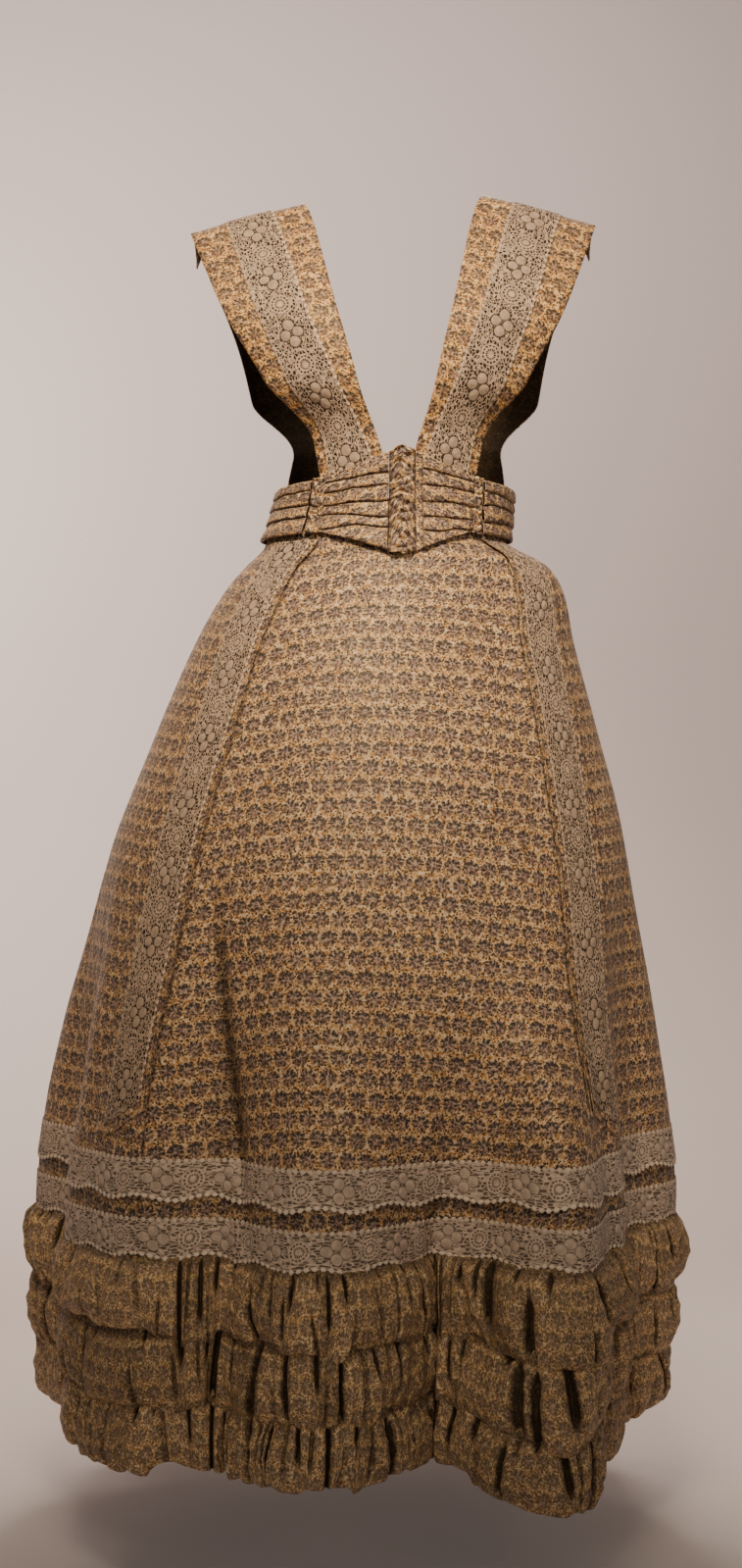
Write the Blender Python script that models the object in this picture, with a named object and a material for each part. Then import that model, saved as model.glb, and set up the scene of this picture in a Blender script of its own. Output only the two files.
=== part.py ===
"""Silk dress with a bretelle bodice, a shirred waistband and a full skirt, in the shape it has when worn.

Metres, +Z up. The front faces -Y and the wearer's left side is +X. The origin is the centre of the
waist, at the middle of the waistband's height at its sides. A bearing is an angle round the figure,
in degrees: 0 is the front, 90 the wearer's left side, 180 the back.
"""

import math
from bisect import bisect_right
from collections import namedtuple

import bmesh
import bpy
from mathutils import Vector

# Cloth, seams and the layers that lie on the skirt
SILK = 0.0016
SILK_LIGHT = 0.0013
LACE = 0.0010
LAYER_GAP = 0.0005
SEAM_GAP = 0.02  # of a skirt column, on each side of a seam
TAB_WIDTH = 0.080
TAB_LACE_IN = 0.010
TAB_LACE_WIDTH = 0.057

# The waistband leans a little to the wearer's left towards its top, but not at its centre front
BeltSection = namedtuple("BeltSection", "height middle half_width half_depth")
BELT_INSIDE = [
    BeltSection(-0.056, -0.0090, 0.1385, 0.1110),
    BeltSection(-0.030, -0.0070, 0.1330, 0.1045),
    BeltSection(0.000, -0.0010, 0.1290, 0.0995),
    BeltSection(0.030, 0.0030, 0.1275, 0.0990),
    BeltSection(0.066, 0.0050, 0.1260, 0.1005),
]

CENTRE_FRONT = 0.009

BeltEdge = namedtuple("BeltEdge", "bearing top bottom")
BELT_EDGES = [
    BeltEdge(0, 0.0620, -0.0530),
    BeltEdge(7, 0.0560, -0.0490),
    BeltEdge(20, 0.0440, -0.0385),
    BeltEdge(36, 0.0320, -0.0280),
    BeltEdge(46, 0.0285, -0.0290),
    BeltEdge(90, 0.0230, -0.0315),
    BeltEdge(135, 0.0260, -0.0300),
    BeltEdge(180, 0.0300, -0.0320),
]

BeltPiece = namedtuple("BeltPiece", "name start end pleats steps")
BELT_PIECES = [
    BeltPiece("belt_front", 6.4, 36.6, 5, 5),
    BeltPiece("belt_side", 45.0, 104.0, 4, 7),
    BeltPiece("belt_back", 104.4, 179.8, 4, 9),
]
BELT_WALL = 0.0018
PLEAT_PROUD = 0.0022
PLEAT_SHARE = 0.86  # of a pleat's height, where its fold stands proudest

Ruche = namedtuple("Ruche", "name start end gathers proud over")
RUCHES = [
    Ruche("ruche_centre", -6.2, 6.2, 11, 0.0062, 0.002),
    Ruche("ruche_left", 36.9, 44.7, 5, 0.0052, 0.001),
    Ruche("ruche_right", -44.7, -36.9, 5, 0.0052, 0.001),
]

# The skirt's plain rings, before its folds: how far below the waist, and the outer face on each side
SkirtSection = namedtuple("SkirtSection", "drop right left front back")
SKIRT_SECTIONS = [
    SkirtSection(0.016, -0.1340, 0.1262, -0.1011, 0.1011),
    SkirtSection(0.033, -0.1385, 0.1240, -0.1022, 0.1022),
    SkirtSection(0.042, -0.1440, 0.1380, -0.1050, 0.1095),
    SkirtSection(0.056, -0.1600, 0.1680, -0.1085, 0.1240),
    SkirtSection(0.085, -0.1850, 0.1870, -0.1220, 0.1500),
    SkirtSection(0.140, -0.2165, 0.1985, -0.1500, 0.1850),
    SkirtSection(0.230, -0.2555, 0.2225, -0.1900, 0.2250),
    SkirtSection(0.340, -0.3000, 0.2495, -0.2280, 0.2620),
    SkirtSection(0.460, -0.3385, 0.2725, -0.2620, 0.3000),
    SkirtSection(0.570, -0.3690, 0.2930, -0.2880, 0.3300),
    SkirtSection(0.665, -0.3880, 0.3070, -0.3080, 0.3520),
    SkirtSection(0.757, -0.3950, 0.3100, -0.3230, 0.3650),
    SkirtSection(0.955, -0.3790, 0.2860, -0.3360, 0.3720),
]
SKIRT_ROWS = [0.016, 0.033, 0.042, 0.056, 0.085, 0.14, 0.24, 0.35, 0.465, 0.57, 0.665, 0.715, 0.765, 0.955]

# The skirt's hanging folds: out at the hem, where below the waist each begins, how much lower its hem hangs
Fold = namedtuple("Fold", "name bearing out starts hangs")
FOLDS = [
    Fold("centre back trough", -180, -0.045, 0.14, 0.000),
    Fold("right back lobe", -162, 0.020, 0.14, 0.000),
    Fold("right back trough", -146, -0.048, 0.20, 0.000),
    Fold("right rear lobe", -129, 0.014, 0.24, 0.000),
    Fold("right rear trough", -114, -0.038, 0.30, 0.000),
    Fold("right side lobe", -99, 0.005, 0.34, 0.000),
    Fold("right side trough", -77, -0.050, 0.34, 0.000),
    Fold("right front edge", -56, -0.008, 0.34, 0.000),
    Fold("right front lobe", -39, 0.002, 0.36, 0.000),
    Fold("right front trough", -24, -0.038, 0.36, -0.002),
    Fold("centre front lobe", -6, 0.016, 0.44, -0.002),
    Fold("centre front trough", 19.5, -0.070, 0.48, -0.006),
    Fold("left front lobe", 31.5, 0.064, 0.42, 0.027),
    Fold("left front edge", 47, 0.004, 0.38, 0.002),
    Fold("left side trough", 66, -0.044, 0.34, 0.000),
    Fold("left side lobe", 88, -0.002, 0.34, 0.000),
    Fold("left rear trough", 108, -0.038, 0.30, 0.000),
    Fold("left rear lobe", 126, 0.016, 0.24, 0.000),
    Fold("left back trough", 145, -0.048, 0.20, 0.000),
    Fold("left back lobe", 162, 0.020, 0.14, 0.000),
    Fold("centre back trough again", 180, -0.045, 0.14, 0.000),
]
FOLD_RUN = 0.34  # from where a fold begins to where it has its whole depth
HANG_START = 0.74
HANG_RUN = 0.20

# Lines down the skirt between its pieces; aside is a distance round the skirt from the bearing, and
# lean turns the line by some degrees in the lower part of the skirt
Meridian = namedtuple("Meridian", "name column bearing aside lean")
MERIDIANS = [
    Meridian("right tab, inner edge", 0, -37.5, 0.0, 0.0),
    Meridian("left tab, inner edge", 18, 43.5, 0.0, -3.0),
    Meridian("left tab, outer edge", 21, 43.5, TAB_WIDTH, -3.0),
    Meridian("left side seam", 30, 106, 0.0, 0.0),
    Meridian("centre back seam", 42, 180, 0.0, 0.0),
    Meridian("right side seam", 54, 254, 0.0, 0.0),
    Meridian("right tab, outer edge", 63, 322.5, -TAB_WIDTH, 0.0),
    Meridian("right tab, inner edge, once round", 66, 322.5, 0.0, 0.0),
]
LEAN_START = 0.35
LEAN_RUN = 0.26
COLUMNS = 66
LEFT_TAB = 18
TAB_COLUMNS = 3

Panel = namedtuple("Panel", "name start end")
PANELS = [
    Panel("front", 0, 18),
    Panel("left", 18, 30),
    Panel("back_left", 30, 42),
    Panel("back_right", 42, 54),
    Panel("right", 54, 66),
]

# Lace round the skirt: the scallops hang from the lower edge
LaceBand = namedtuple("LaceBand", "name top bottom")
LACE_BANDS = [
    LaceBand("lace_band_upper", 0.668, 0.706),
    LaceBand("lace_band_lower", 0.720, 0.758),
]
LACE_LIFT = 0.0015
SCALLOP_DEPTH = 0.005

# Three flounces: each is gathered at its head, puffs out and turns under at its lower edge
Tier = namedtuple("Tier", "name head foot wave_shift")
TIERS = [
    Tier("flounce_top", 0.7645, 0.8360, 0.0),
    Tier("flounce_middle", 0.8250, 0.9020, 1.7),
    Tier("flounce_bottom", 0.8910, 0.9660, 3.1),
]
TierRow = namedtuple("TierRow", "name down out wave")
TIER_ROWS = [
    TierRow("head", 0.00, 0.0012, 0.0),
    TierRow("upper puff", 0.22, 0.0080, 0.0022),
    TierRow("lower puff", 0.86, 0.0185, 0.0062),
    TierRow("turned edge", 1.00, 0.0150, 0.0050),
]
HALF_COLUMNS_A_WAVE = 3
TIER_WALL = 0.0018

# The bretelles: stations from the waist in front (0), over the shoulder (1), to the waist behind (2)
Station = namedtuple("Station", "name along inner outer crown")
STATIONS = [
    Station("front waist", 0.00, (0.010, -0.0962, 0.016), (0.080, -0.0745, 0.010), 0.0),
    Station("waistband's edge", 0.14, (0.017, -0.0990, 0.056), (0.090, -0.0770, 0.038), 0.001),
    Station("ribs", 0.32, (0.034, -0.1055, 0.104), (0.118, -0.0815, 0.092), 0.002),
    Station("bust", 0.50, (0.046, -0.1065, 0.155), (0.145, -0.0815, 0.145), 0.004),
    Station("chest", 0.72, (0.063, -0.0900, 0.222), (0.180, -0.0700, 0.210), 0.004),
    Station("front shoulder", 0.92, (0.085, -0.0320, 0.317), (0.211, -0.0280, 0.288), 0.002),
    Station("shoulder line", 1.00, (0.0958, 0.0000, 0.3475), (0.2205, 0.0000, 0.314), 0.001),
    Station("back shoulder", 1.08, (0.092, 0.0350, 0.324), (0.211, 0.0300, 0.292), 0.002),
    Station("shoulder blade", 1.32, (0.078, 0.0920, 0.220), (0.177, 0.0760, 0.206), 0.004),
    Station("lower back", 1.64, (0.060, 0.1020, 0.110), (0.153, 0.0620, 0.106), 0.003),
    Station("waistband's back edge", 1.86, (0.046, 0.0960, 0.046), (0.1290, 0.0330, 0.040), 0.001),
    Station("back waist", 2.00, (0.042, 0.0920, 0.012), (0.1205, 0.0300, 0.008), 0.0),
]
STRAP_ACROSS = [0.0, 0.25, 0.5, 0.75, 1.0]
STRAP_LACE_ACROSS = [0.25, 0.5, 0.72]
STRAP_STEPS = 13  # from the waist to the shoulder line
TUCK = 0.0024  # from the waistband's inside to a bretelle's inner face
TUCK_HEIGHT = 0.066
BODICE_SHIFT = 0.005  # at the waist, to the wearer's left
SHOULDER = 0.345
SHOULDER_LOWER = 0.009  # the wearer's right one

Finish = namedtuple("Finish", "colour roughness")
FINISHES = {
    "printed_silk": Finish((0.45, 0.31, 0.18), 0.45),
    "lace": Finish((0.48, 0.37, 0.28), 0.85),
}


def clear_scene():
    for thing in list(bpy.data.objects):
        bpy.data.objects.remove(thing, do_unlink=True)


def finish(name):
    """The material of that name, made once."""
    found = bpy.data.materials.get(name)
    if found:
        return found
    made = bpy.data.materials.new(name)
    made.use_nodes = True
    shader = made.node_tree.nodes["Principled BSDF"]
    shader.inputs["Base Color"].default_value = (*FINISHES[name].colour, 1.0)
    shader.inputs["Roughness"].default_value = FINISHES[name].roughness
    shader.inputs["Metallic"].default_value = 0.0
    return made


def smooth(knots, values, at):
    """A smooth curve through the values at the knots, held level beyond both ends."""
    if at <= knots[0]:
        return values[0]
    if at >= knots[-1]:
        return values[-1]
    first = bisect_right(knots, at) - 1

    def slope(knot):
        low, high = max(knot - 1, 0), min(knot + 1, len(knots) - 1)
        return (values[high] - values[low]) * (1.0 / (knots[high] - knots[low]))

    step = knots[first + 1] - knots[first]
    share = (at - knots[first]) / step
    square, cube = share**2, share**3
    return (
        values[first] * (2 * cube - 3 * square + 1)
        + slope(first) * (step * (cube - 2 * square + share))
        + values[first + 1] * (3 * square - 2 * cube)
        + slope(first + 1) * (step * (cube - square))
    )


def straight(knots, values, at):
    """The value at a place between knots, on straight lines."""
    at = min(max(at, knots[0]), knots[-1])
    first = min(bisect_right(knots, at) - 1, len(knots) - 2)
    share = (at - knots[first]) / (knots[first + 1] - knots[first])
    return values[first] * (1 - share) + values[first + 1] * share


def ease(share):
    """From 0 to 1 with a soft start and a soft end."""
    share = min(max(share, 0.0), 1.0)
    return share * share * (3 - 2 * share)


def uneven(number, seed):
    """An even-looking spread of values from -1 to 1, the same on each run."""
    return math.sin(number * 2.399 + seed * 1.7) * 0.6 + math.sin(number * 5.13 + seed * 0.9) * 0.4


def outward(bearing):
    angle = math.radians(bearing)
    return Vector((math.sin(angle), -math.cos(angle), 0.0))


def end_faces(ring, is_wall):
    """The faces that close one end: for a wall a row of quads from its outside to its inside."""
    if not is_wall:
        return [ring]
    last = len(ring) - 1
    return [[ring[at], ring[at + 1], ring[last - at - 1], ring[last - at]] for at in range(last // 2)]


def loft(name, sections, material, closed=False, inner_from=None):
    """One solid through closed sections, each a loop of the same number of points.

    The quads from loop point inner_from on are split the other way, so that a wall's two faces match.
    """
    mesh = bpy.data.meshes.new(name)
    shape = bmesh.new()
    rings = [[shape.verts.new(point) for point in section] for section in sections]
    count = len(rings[0])
    pairs = list(zip(rings, rings[1:] + (rings[:1] if closed else [])))
    for here, there in pairs:
        for low in range(count):
            high = (low + 1) % count
            quad = [here[low], here[high], there[high], there[low]]
            if inner_from is not None and low >= inner_from:
                quad = quad[1:] + quad[:1]
            shape.faces.new(quad)
    if not closed:
        for ring in (rings[0], rings[-1]):
            for face in end_faces(ring, inner_from == count // 2 and count % 2 == 0):
                shape.faces.new(face)
    bmesh.ops.triangulate(shape, faces=shape.faces[:], quad_method="FIXED", ngon_method="BEAUTY")
    bmesh.ops.recalc_face_normals(shape, faces=shape.faces[:])
    shape.to_mesh(mesh)
    shape.free()
    mesh.shade_smooth()
    mesh.set_sharp_from_angle(angle=math.radians(50))
    mesh.materials.append(finish(material))
    made = bpy.data.objects.new(name, mesh)
    bpy.context.scene.collection.objects.link(made)
    return made


def wall(name, outer, inner, material, closed=False):
    """A sheet with thickness: outer and inner hold a list of points, top to bottom, for each column."""
    sections = [front + back[::-1] for front, back in zip(outer, inner)]
    return loft(name, sections, material, closed, inner_from=len(outer[0]))


def bearing_at(column, drop, half_width):
    """The bearing of a skirt column, at a drop where the skirt is this wide."""
    knots = [line.column for line in MERIDIANS]
    leaning = ease((drop - LEAN_START) / LEAN_RUN)
    bearings = [
        line.bearing + line.lean * leaning + math.degrees(line.aside / half_width) for line in MERIDIANS
    ]
    turns, within = divmod(column, COLUMNS)
    return straight(knots, bearings, within) + 360.0 * turns


def fold_at(bearing):
    """How far the cloth stands out, where the fold begins and how much lower it hangs, at a bearing."""
    bearing = (bearing + 180.0) % 360.0 - 180.0
    knots = [fold.bearing for fold in FOLDS]
    first = min(bisect_right(knots, bearing) - 1, len(FOLDS) - 2)
    before, after = FOLDS[first], FOLDS[first + 1]
    share = ease((bearing - before.bearing) / (after.bearing - before.bearing))
    return [
        getattr(before, part) * (1 - share) + getattr(after, part) * share
        for part in ("out", "starts", "hangs")
    ]


def skirt_corner(column, drop):
    """A point of the skirt's outer face, and its bearing."""
    knots = [section.drop for section in SKIRT_SECTIONS]
    right, left, front, back = (
        smooth(knots, [getattr(section, side) for section in SKIRT_SECTIONS], drop)
        for side in ("right", "left", "front", "back")
    )
    half_width, half_depth = (left - right) / 2, (back - front) / 2
    bearing = bearing_at(column, drop, half_width)
    out, starts, hangs = fold_at(bearing)
    grown = ease((drop - starts) / FOLD_RUN)
    lower = hangs * ease((drop - HANG_START) / HANG_RUN)
    away = outward(bearing)
    aside = to_centre_front(-drop, bearing) * (1 - ease((drop - 0.033) / 0.04))
    middle = Vector(((left + right) / 2 + aside, (front + back) / 2, -drop - lower))
    across = Vector((away.x * (half_width + out * grown), away.y * (half_depth + out * grown), 0.0))
    return middle + across, bearing


def on_skirt(column, drop, out):
    """A point on the skirt's faceted outer face, moved out."""
    first = math.floor(column)
    row = min(bisect_right(SKIRT_ROWS, drop) - 1, len(SKIRT_ROWS) - 2)
    across = column - first
    down = (drop - SKIRT_ROWS[row]) / (SKIRT_ROWS[row + 1] - SKIRT_ROWS[row])
    (near_top, bearing), (far_top, next_bearing) = (
        skirt_corner(first + side, SKIRT_ROWS[row]) for side in (0, 1)
    )
    near_foot, far_foot = (skirt_corner(first + side, SKIRT_ROWS[row + 1])[0] for side in (0, 1))
    if down >= across:
        point = near_top * (1 - down) + near_foot * (down - across) + far_foot * across
    else:
        point = near_top * (1 - across) + far_top * (across - down) + far_foot * down
    return point + outward(bearing * (1 - across) + next_bearing * across) * out


def seam_columns(start, end, step=1.0):
    """Columns from one seam to the next, with the first and last drawn back for the gap."""
    count = round((end - start) / step)
    inner = [start + step * number for number in range(1, count)]
    return [start + SEAM_GAP, *inner, end - SEAM_GAP]


def skirt_panel(panel):
    columns = seam_columns(panel.start, panel.end)
    outer = [[on_skirt(column, drop, 0.0) for drop in SKIRT_ROWS] for column in columns]
    inner = [[on_skirt(column, drop, -SILK) for drop in SKIRT_ROWS] for column in columns]
    wall(f"skirt_{panel.name}", outer, inner, "printed_silk")


def tab_heights(column, tip, corner, width):
    """Rows down a tab at one column: the lower end is cut away towards the skirt's middle."""
    top = 0.0360
    cut = ease(column / width)
    foot = corner + (tip - corner) * cut
    return [top, *[drop for drop in SKIRT_ROWS if top < drop < corner], foot]


def skirt_tab(side, start, step):
    """A strip of silk down the skirt from the waistband, with lace along its middle."""
    in_column = TAB_COLUMNS / TAB_WIDTH
    lace_start, lace_end = TAB_LACE_IN * in_column, (TAB_LACE_IN + TAB_LACE_WIDTH) * in_column
    layers = [
        (f"tab_{side}", [0.0, 1.0, 2.0, 3.0], LAYER_GAP, SILK_LIGHT, 0.622, 0.650, "printed_silk"),
        (
            f"lace_tab_{side}",
            [lace_start, 1.0, 2.0, lace_end],
            2.6 * LAYER_GAP + SILK_LIGHT,
            LACE,
            0.612,
            0.640,
            "lace",
        ),
    ]
    for name, places, lift, thick, corner, tip, material in layers:
        outer, inner = [], []
        for place in places if step > 0 else reversed(places):
            column = start + step * min(max(place, SEAM_GAP), TAB_COLUMNS - SEAM_GAP)
            drops = tab_heights(place, tip, corner, 2.0)
            outer.append([on_skirt(column, drop, lift + thick) for drop in drops])
            inner.append([on_skirt(column, drop, lift) for drop in drops])
        wall(name, outer, inner, material)


def lace_band(band):
    """Lace all round the skirt, with a scalloped lower edge."""
    outer, inner = [], []
    for column in range(COLUMNS):
        drops = [band.top, band.bottom + SCALLOP_DEPTH * (column % 2)]
        inner.append([on_skirt(column, drop, LACE_LIFT) for drop in drops])
        outer.append([on_skirt(column, drop, LACE_LIFT + LACE) for drop in drops])
    wall(band.name, outer, inner, "lace", closed=True)


def flounce_out(tier, row, half_column):
    """How far a flounce stands off the skirt at one place: gathers in, puffs out."""
    wave, place = divmod(half_column, HALF_COLUMNS_A_WAVE)
    depth = row.wave * (1.0 + 0.35 * uneven(wave, tier.wave_shift))
    if place == 0:
        return row.out - depth
    return row.out + depth * (0.8 + 0.3 * uneven(half_column, tier.wave_shift + 1.0))


def flounce(tier, panel):
    start, end = 2 * panel.start, 2 * panel.end
    outer, inner = [], []
    for half_column in range(start, end + 1):
        column = half_column / 2
        if half_column == start:
            column += SEAM_GAP
        if half_column == end:
            column -= SEAM_GAP
        outer_line, inner_line = [], []
        for row in TIER_ROWS:
            out = flounce_out(tier, row, half_column)
            sag = 0.003 * row.down * uneven(half_column / 5.0, tier.wave_shift)
            drop = tier.head + (tier.foot - tier.head) * row.down + sag
            wall_share = 0.7 if row.name == "head" else 1.0
            outer_line.append(on_skirt(column, drop, out + TIER_WALL * wall_share))
            inner_line.append(on_skirt(column, drop, out))
        outer.append(outer_line)
        inner.append(inner_line)
    wall(f"{tier.name}_{panel.name}", outer, inner, "printed_silk")


def belt_size(size, height):
    knots = [section.height for section in BELT_INSIDE]
    return smooth(knots, [getattr(section, size) for section in BELT_INSIDE], height)


def to_centre_front(height, bearing):
    """How far sideways the front of the waistband stands from its leaning rings."""
    return (CENTRE_FRONT - belt_size("middle", height)) * max(math.cos(math.radians(bearing)), 0.0) ** 3


def belt_ring(height, bearing):
    """The middle, half width and half depth of the waistband's inside, for one bearing."""
    middle = belt_size("middle", height) + to_centre_front(height, bearing)
    return middle, belt_size("half_width", height), belt_size("half_depth", height)


def belt_point(bearing, height, out):
    """A point of the waistband's inside, moved out."""
    middle, half_width, half_depth = belt_ring(height, bearing)
    away = outward(bearing)
    return Vector((middle + away.x * (half_width + out), away.y * (half_depth + out), height))


def belt_edges(bearing):
    """The heights of the waistband's top and bottom edges."""
    knots = [edge.bearing for edge in BELT_EDGES]
    return [
        straight(knots, [getattr(edge, part) for edge in BELT_EDGES], abs(bearing))
        for part in ("top", "bottom")
    ]


def belt_inside(bearing):
    """The waistband's inside from the bottom to the top."""
    top, bottom = belt_edges(bearing)
    return [belt_point(bearing, bottom + (top - bottom) * share, 0.0) for share in (0, 0.33, 0.67, 1)]


def belt_piece(piece, side, side_name):
    """A pleated length of the waistband. Each pleat's fold stands proud of the next one's top."""
    sections = []
    for step in range(piece.steps + 1):
        bearing = side * (piece.start + (piece.end - piece.start) * step / piece.steps)
        top, bottom = belt_edges(bearing)
        outside = []
        for pleat in range(piece.pleats):
            for share, proud in ((0.0, 0.0), (PLEAT_SHARE, PLEAT_PROUD)):
                down = (pleat + share) / piece.pleats
                height = top + (bottom - top) * down
                outside.append(belt_point(bearing, height, BELT_WALL + proud))
        outside.append(belt_point(bearing, bottom, BELT_WALL))
        sections.append(outside + belt_inside(bearing))
    loft(f"{piece.name}_{side_name}", sections, "printed_silk", inner_from=2 * piece.pleats + 1)


def ruche(strip):
    """A gathered strip down the waistband, with a ridge for each gather."""
    sections = []
    steps = 2 * strip.gathers
    middle = (strip.start + strip.end) / 2
    top, bottom = belt_edges(middle)
    for step in range(steps + 1):
        height = top + strip.over + (bottom - top - 2 * strip.over) * step / steps
        ridge = 1.0 if step % 2 else 0.45
        outside = []
        for share, swell in ((0, 0.35), (0.25, 0.85), (0.5, 1.0), (0.75, 0.85), (1, 0.35)):
            bearing = strip.start + (strip.end - strip.start) * share
            lean = 0.0012 * uneven(step + 7 * share, middle)
            proud = strip.proud * ridge * swell * (1 + 0.2 * uneven(step, share))
            outside.append(belt_point(bearing, height + lean * (0 < step < steps), BELT_WALL + proud))
        inside = [belt_point(bearing, height, 0.0) for bearing in (strip.end, middle, strip.start)]
        sections.append(outside + inside)
    loft(strip.name, sections, "printed_silk", inner_from=5)


def strap_frame(side, along, across):
    """A point of a bretelle's inner face, and the way out from it."""
    knots = [station.along for station in STATIONS]

    def place(edge, where):
        point = smooth(knots, [Vector(getattr(station, edge)) for station in STATIONS], where)
        share = ease(point.z / SHOULDER)
        lower = SHOULDER_LOWER * share if side < 0 else 0.0
        return Vector((BODICE_SHIFT * (1 - share) + side * point.x, point.y, point.z - lower))

    step = 0.01
    width = place("outer", along) - place("inner", along)
    low, high = max(along - step, 0.0), min(along + step, 2.0)
    run = place("inner", high).lerp(place("outer", high), across) - place("inner", low).lerp(
        place("outer", low), across
    )
    normal = width.cross(run).normalized() * side
    crown = smooth(knots, [station.crown for station in STATIONS], along)
    point = place("inner", along) + width * across + normal * (crown * 4 * across * (1 - across))
    return tucked(point), normal


def tucked(point):
    """The point, drawn in where the waistband has to close over it."""
    bearing = math.degrees(math.atan2(point.x, -point.y))
    middle, half_width, half_depth = belt_ring(point.z, bearing)
    from_middle = Vector((point.x - middle, point.y, 0.0))
    reach = math.hypot(from_middle.x / (half_width - TUCK), from_middle.y / (half_depth - TUCK))
    hold = 1.0 - ease((point.z - TUCK_HEIGHT) / TUCK_HEIGHT)
    return point + from_middle * ((min(1.0 / reach, 1.0) - 1.0) * hold)


def strap_point(side, along, across, out):
    """A point on a bretelle's facets, moved out."""
    first = min(bisect_right(STRAP_ACROSS, across) - 1, len(STRAP_ACROSS) - 2)
    low, high = STRAP_ACROSS[first], STRAP_ACROSS[first + 1]
    share = (across - low) / (high - low)
    (near, near_out), (far, far_out) = (strap_frame(side, along, edge) for edge in (low, high))
    return near.lerp(far, share) + near_out.lerp(far_out, share) * out


def strap_piece(name, side, stations, across, lift, thick, material):
    outer = [[strap_point(side, along, place, lift + thick) for along in stations] for place in across]
    inner = [[strap_point(side, along, place, lift) for along in stations] for place in across]
    wall(name, outer, inner, material)


def bretelle(side, side_name):
    """A wide band over the shoulder, in two pieces, with lace along its middle in one."""
    front = [step / STRAP_STEPS for step in range(STRAP_STEPS + 1)]
    back = [2 - along for along in reversed(front)]
    seam = 0.0015
    front_run = [*front[:-1], 1 - seam]
    back_run = [1 + seam, *back[1:]]
    strap_piece(f"bretelle_front_{side_name}", side, front_run, STRAP_ACROSS, 0.0, SILK, "printed_silk")
    strap_piece(f"bretelle_back_{side_name}", side, back_run, STRAP_ACROSS, 0.0, SILK, "printed_silk")
    clear_of_belt = 2
    lace_run = [*front_run[clear_of_belt:], *back_run[: len(back_run) - clear_of_belt]]
    strap_piece(
        f"lace_bretelle_{side_name}", side, lace_run, STRAP_LACE_ACROSS, SILK + LAYER_GAP, LACE, "lace"
    )


def build():
    clear_scene()
    for panel in PANELS:
        skirt_panel(panel)
    skirt_tab("right", COLUMNS, -1)
    skirt_tab("left", LEFT_TAB, 1)
    for band in LACE_BANDS:
        lace_band(band)
    for tier in TIERS:
        for panel in PANELS:
            flounce(tier, panel)
    for piece in BELT_PIECES:
        belt_piece(piece, 1, "left")
        belt_piece(piece, -1, "right")
    for strip in RUCHES:
        ruche(strip)
    bretelle(1, "left")
    bretelle(-1, "right")


build()
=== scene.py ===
"""Looks of the printed silk dress: thin cloth on the solids' form, lace, gathers, stitching, finishes.

Metres, +Z up. The front faces -Y and the wearer's left side is +X. A bearing is an angle round the
figure in degrees: 0 is the front, 90 the wearer's left side, 180 the back.
"""

import functools
import math
import random

import bpy
import numpy as np
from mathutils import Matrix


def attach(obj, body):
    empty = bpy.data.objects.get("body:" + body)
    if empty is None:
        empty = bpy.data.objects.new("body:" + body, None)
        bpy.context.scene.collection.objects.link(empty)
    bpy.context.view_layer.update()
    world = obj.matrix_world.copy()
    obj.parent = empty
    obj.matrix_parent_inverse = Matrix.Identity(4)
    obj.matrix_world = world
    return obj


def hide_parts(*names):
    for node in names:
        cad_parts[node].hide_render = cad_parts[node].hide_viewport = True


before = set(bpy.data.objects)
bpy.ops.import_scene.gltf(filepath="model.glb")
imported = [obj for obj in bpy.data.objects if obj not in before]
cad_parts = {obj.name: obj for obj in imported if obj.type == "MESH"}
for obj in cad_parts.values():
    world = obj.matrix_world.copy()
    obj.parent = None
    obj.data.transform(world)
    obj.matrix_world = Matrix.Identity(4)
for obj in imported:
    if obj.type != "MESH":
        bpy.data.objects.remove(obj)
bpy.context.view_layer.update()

# The skirt's form, as in the solids: drop below the waist, then the outer face on each side
SKIRT_SECTIONS = np.array([
    (0.016, -0.1340, 0.1262, -0.1011, 0.1011),
    (0.033, -0.1385, 0.1240, -0.1022, 0.1022),
    (0.042, -0.1440, 0.1380, -0.1050, 0.1095),
    (0.056, -0.1600, 0.1680, -0.1085, 0.1240),
    (0.085, -0.1850, 0.1870, -0.1220, 0.1500),
    (0.140, -0.2165, 0.1985, -0.1500, 0.1850),
    (0.230, -0.2555, 0.2225, -0.1900, 0.2250),
    (0.340, -0.3000, 0.2495, -0.2280, 0.2620),
    (0.460, -0.3385, 0.2725, -0.2620, 0.3000),
    (0.570, -0.3690, 0.2930, -0.2880, 0.3300),
    (0.665, -0.3880, 0.3070, -0.3080, 0.3520),
    (0.757, -0.3950, 0.3100, -0.3230, 0.3650),
    (0.955, -0.3790, 0.2860, -0.3360, 0.3720),
])
# Hanging folds: bearing, out at the hem, where each begins, how much lower its hem hangs
FOLDS = np.array([
    (-180, -0.045, 0.14, 0),
    (-162, 0.020, 0.14, 0),
    (-146, -0.048, 0.20, 0),
    (-129, 0.014, 0.24, 0),
    (-114, -0.038, 0.30, 0),
    (-99, 0.005, 0.34, 0),
    (-77, -0.050, 0.34, 0),
    (-56, -0.008, 0.34, 0),
    (-39, 0.002, 0.36, 0),
    (-24, -0.038, 0.36, -0.002),
    (-6, 0.016, 0.44, -0.002),
    (19.5, -0.070, 0.48, -0.006),
    (31.5, 0.064, 0.42, 0.027),
    (47, 0.004, 0.38, 0.002),
    (66, -0.044, 0.34, 0),
    (88, -0.002, 0.34, 0),
    (108, -0.038, 0.30, 0),
    (126, 0.016, 0.24, 0),
    (145, -0.048, 0.20, 0),
    (162, 0.020, 0.14, 0),
    (180, -0.045, 0.14, 0),
])
FOLD_RUN = 0.34
HANG_START = 0.74
HANG_RUN = 0.20
TAB_WIDTH = 0.080
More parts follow.
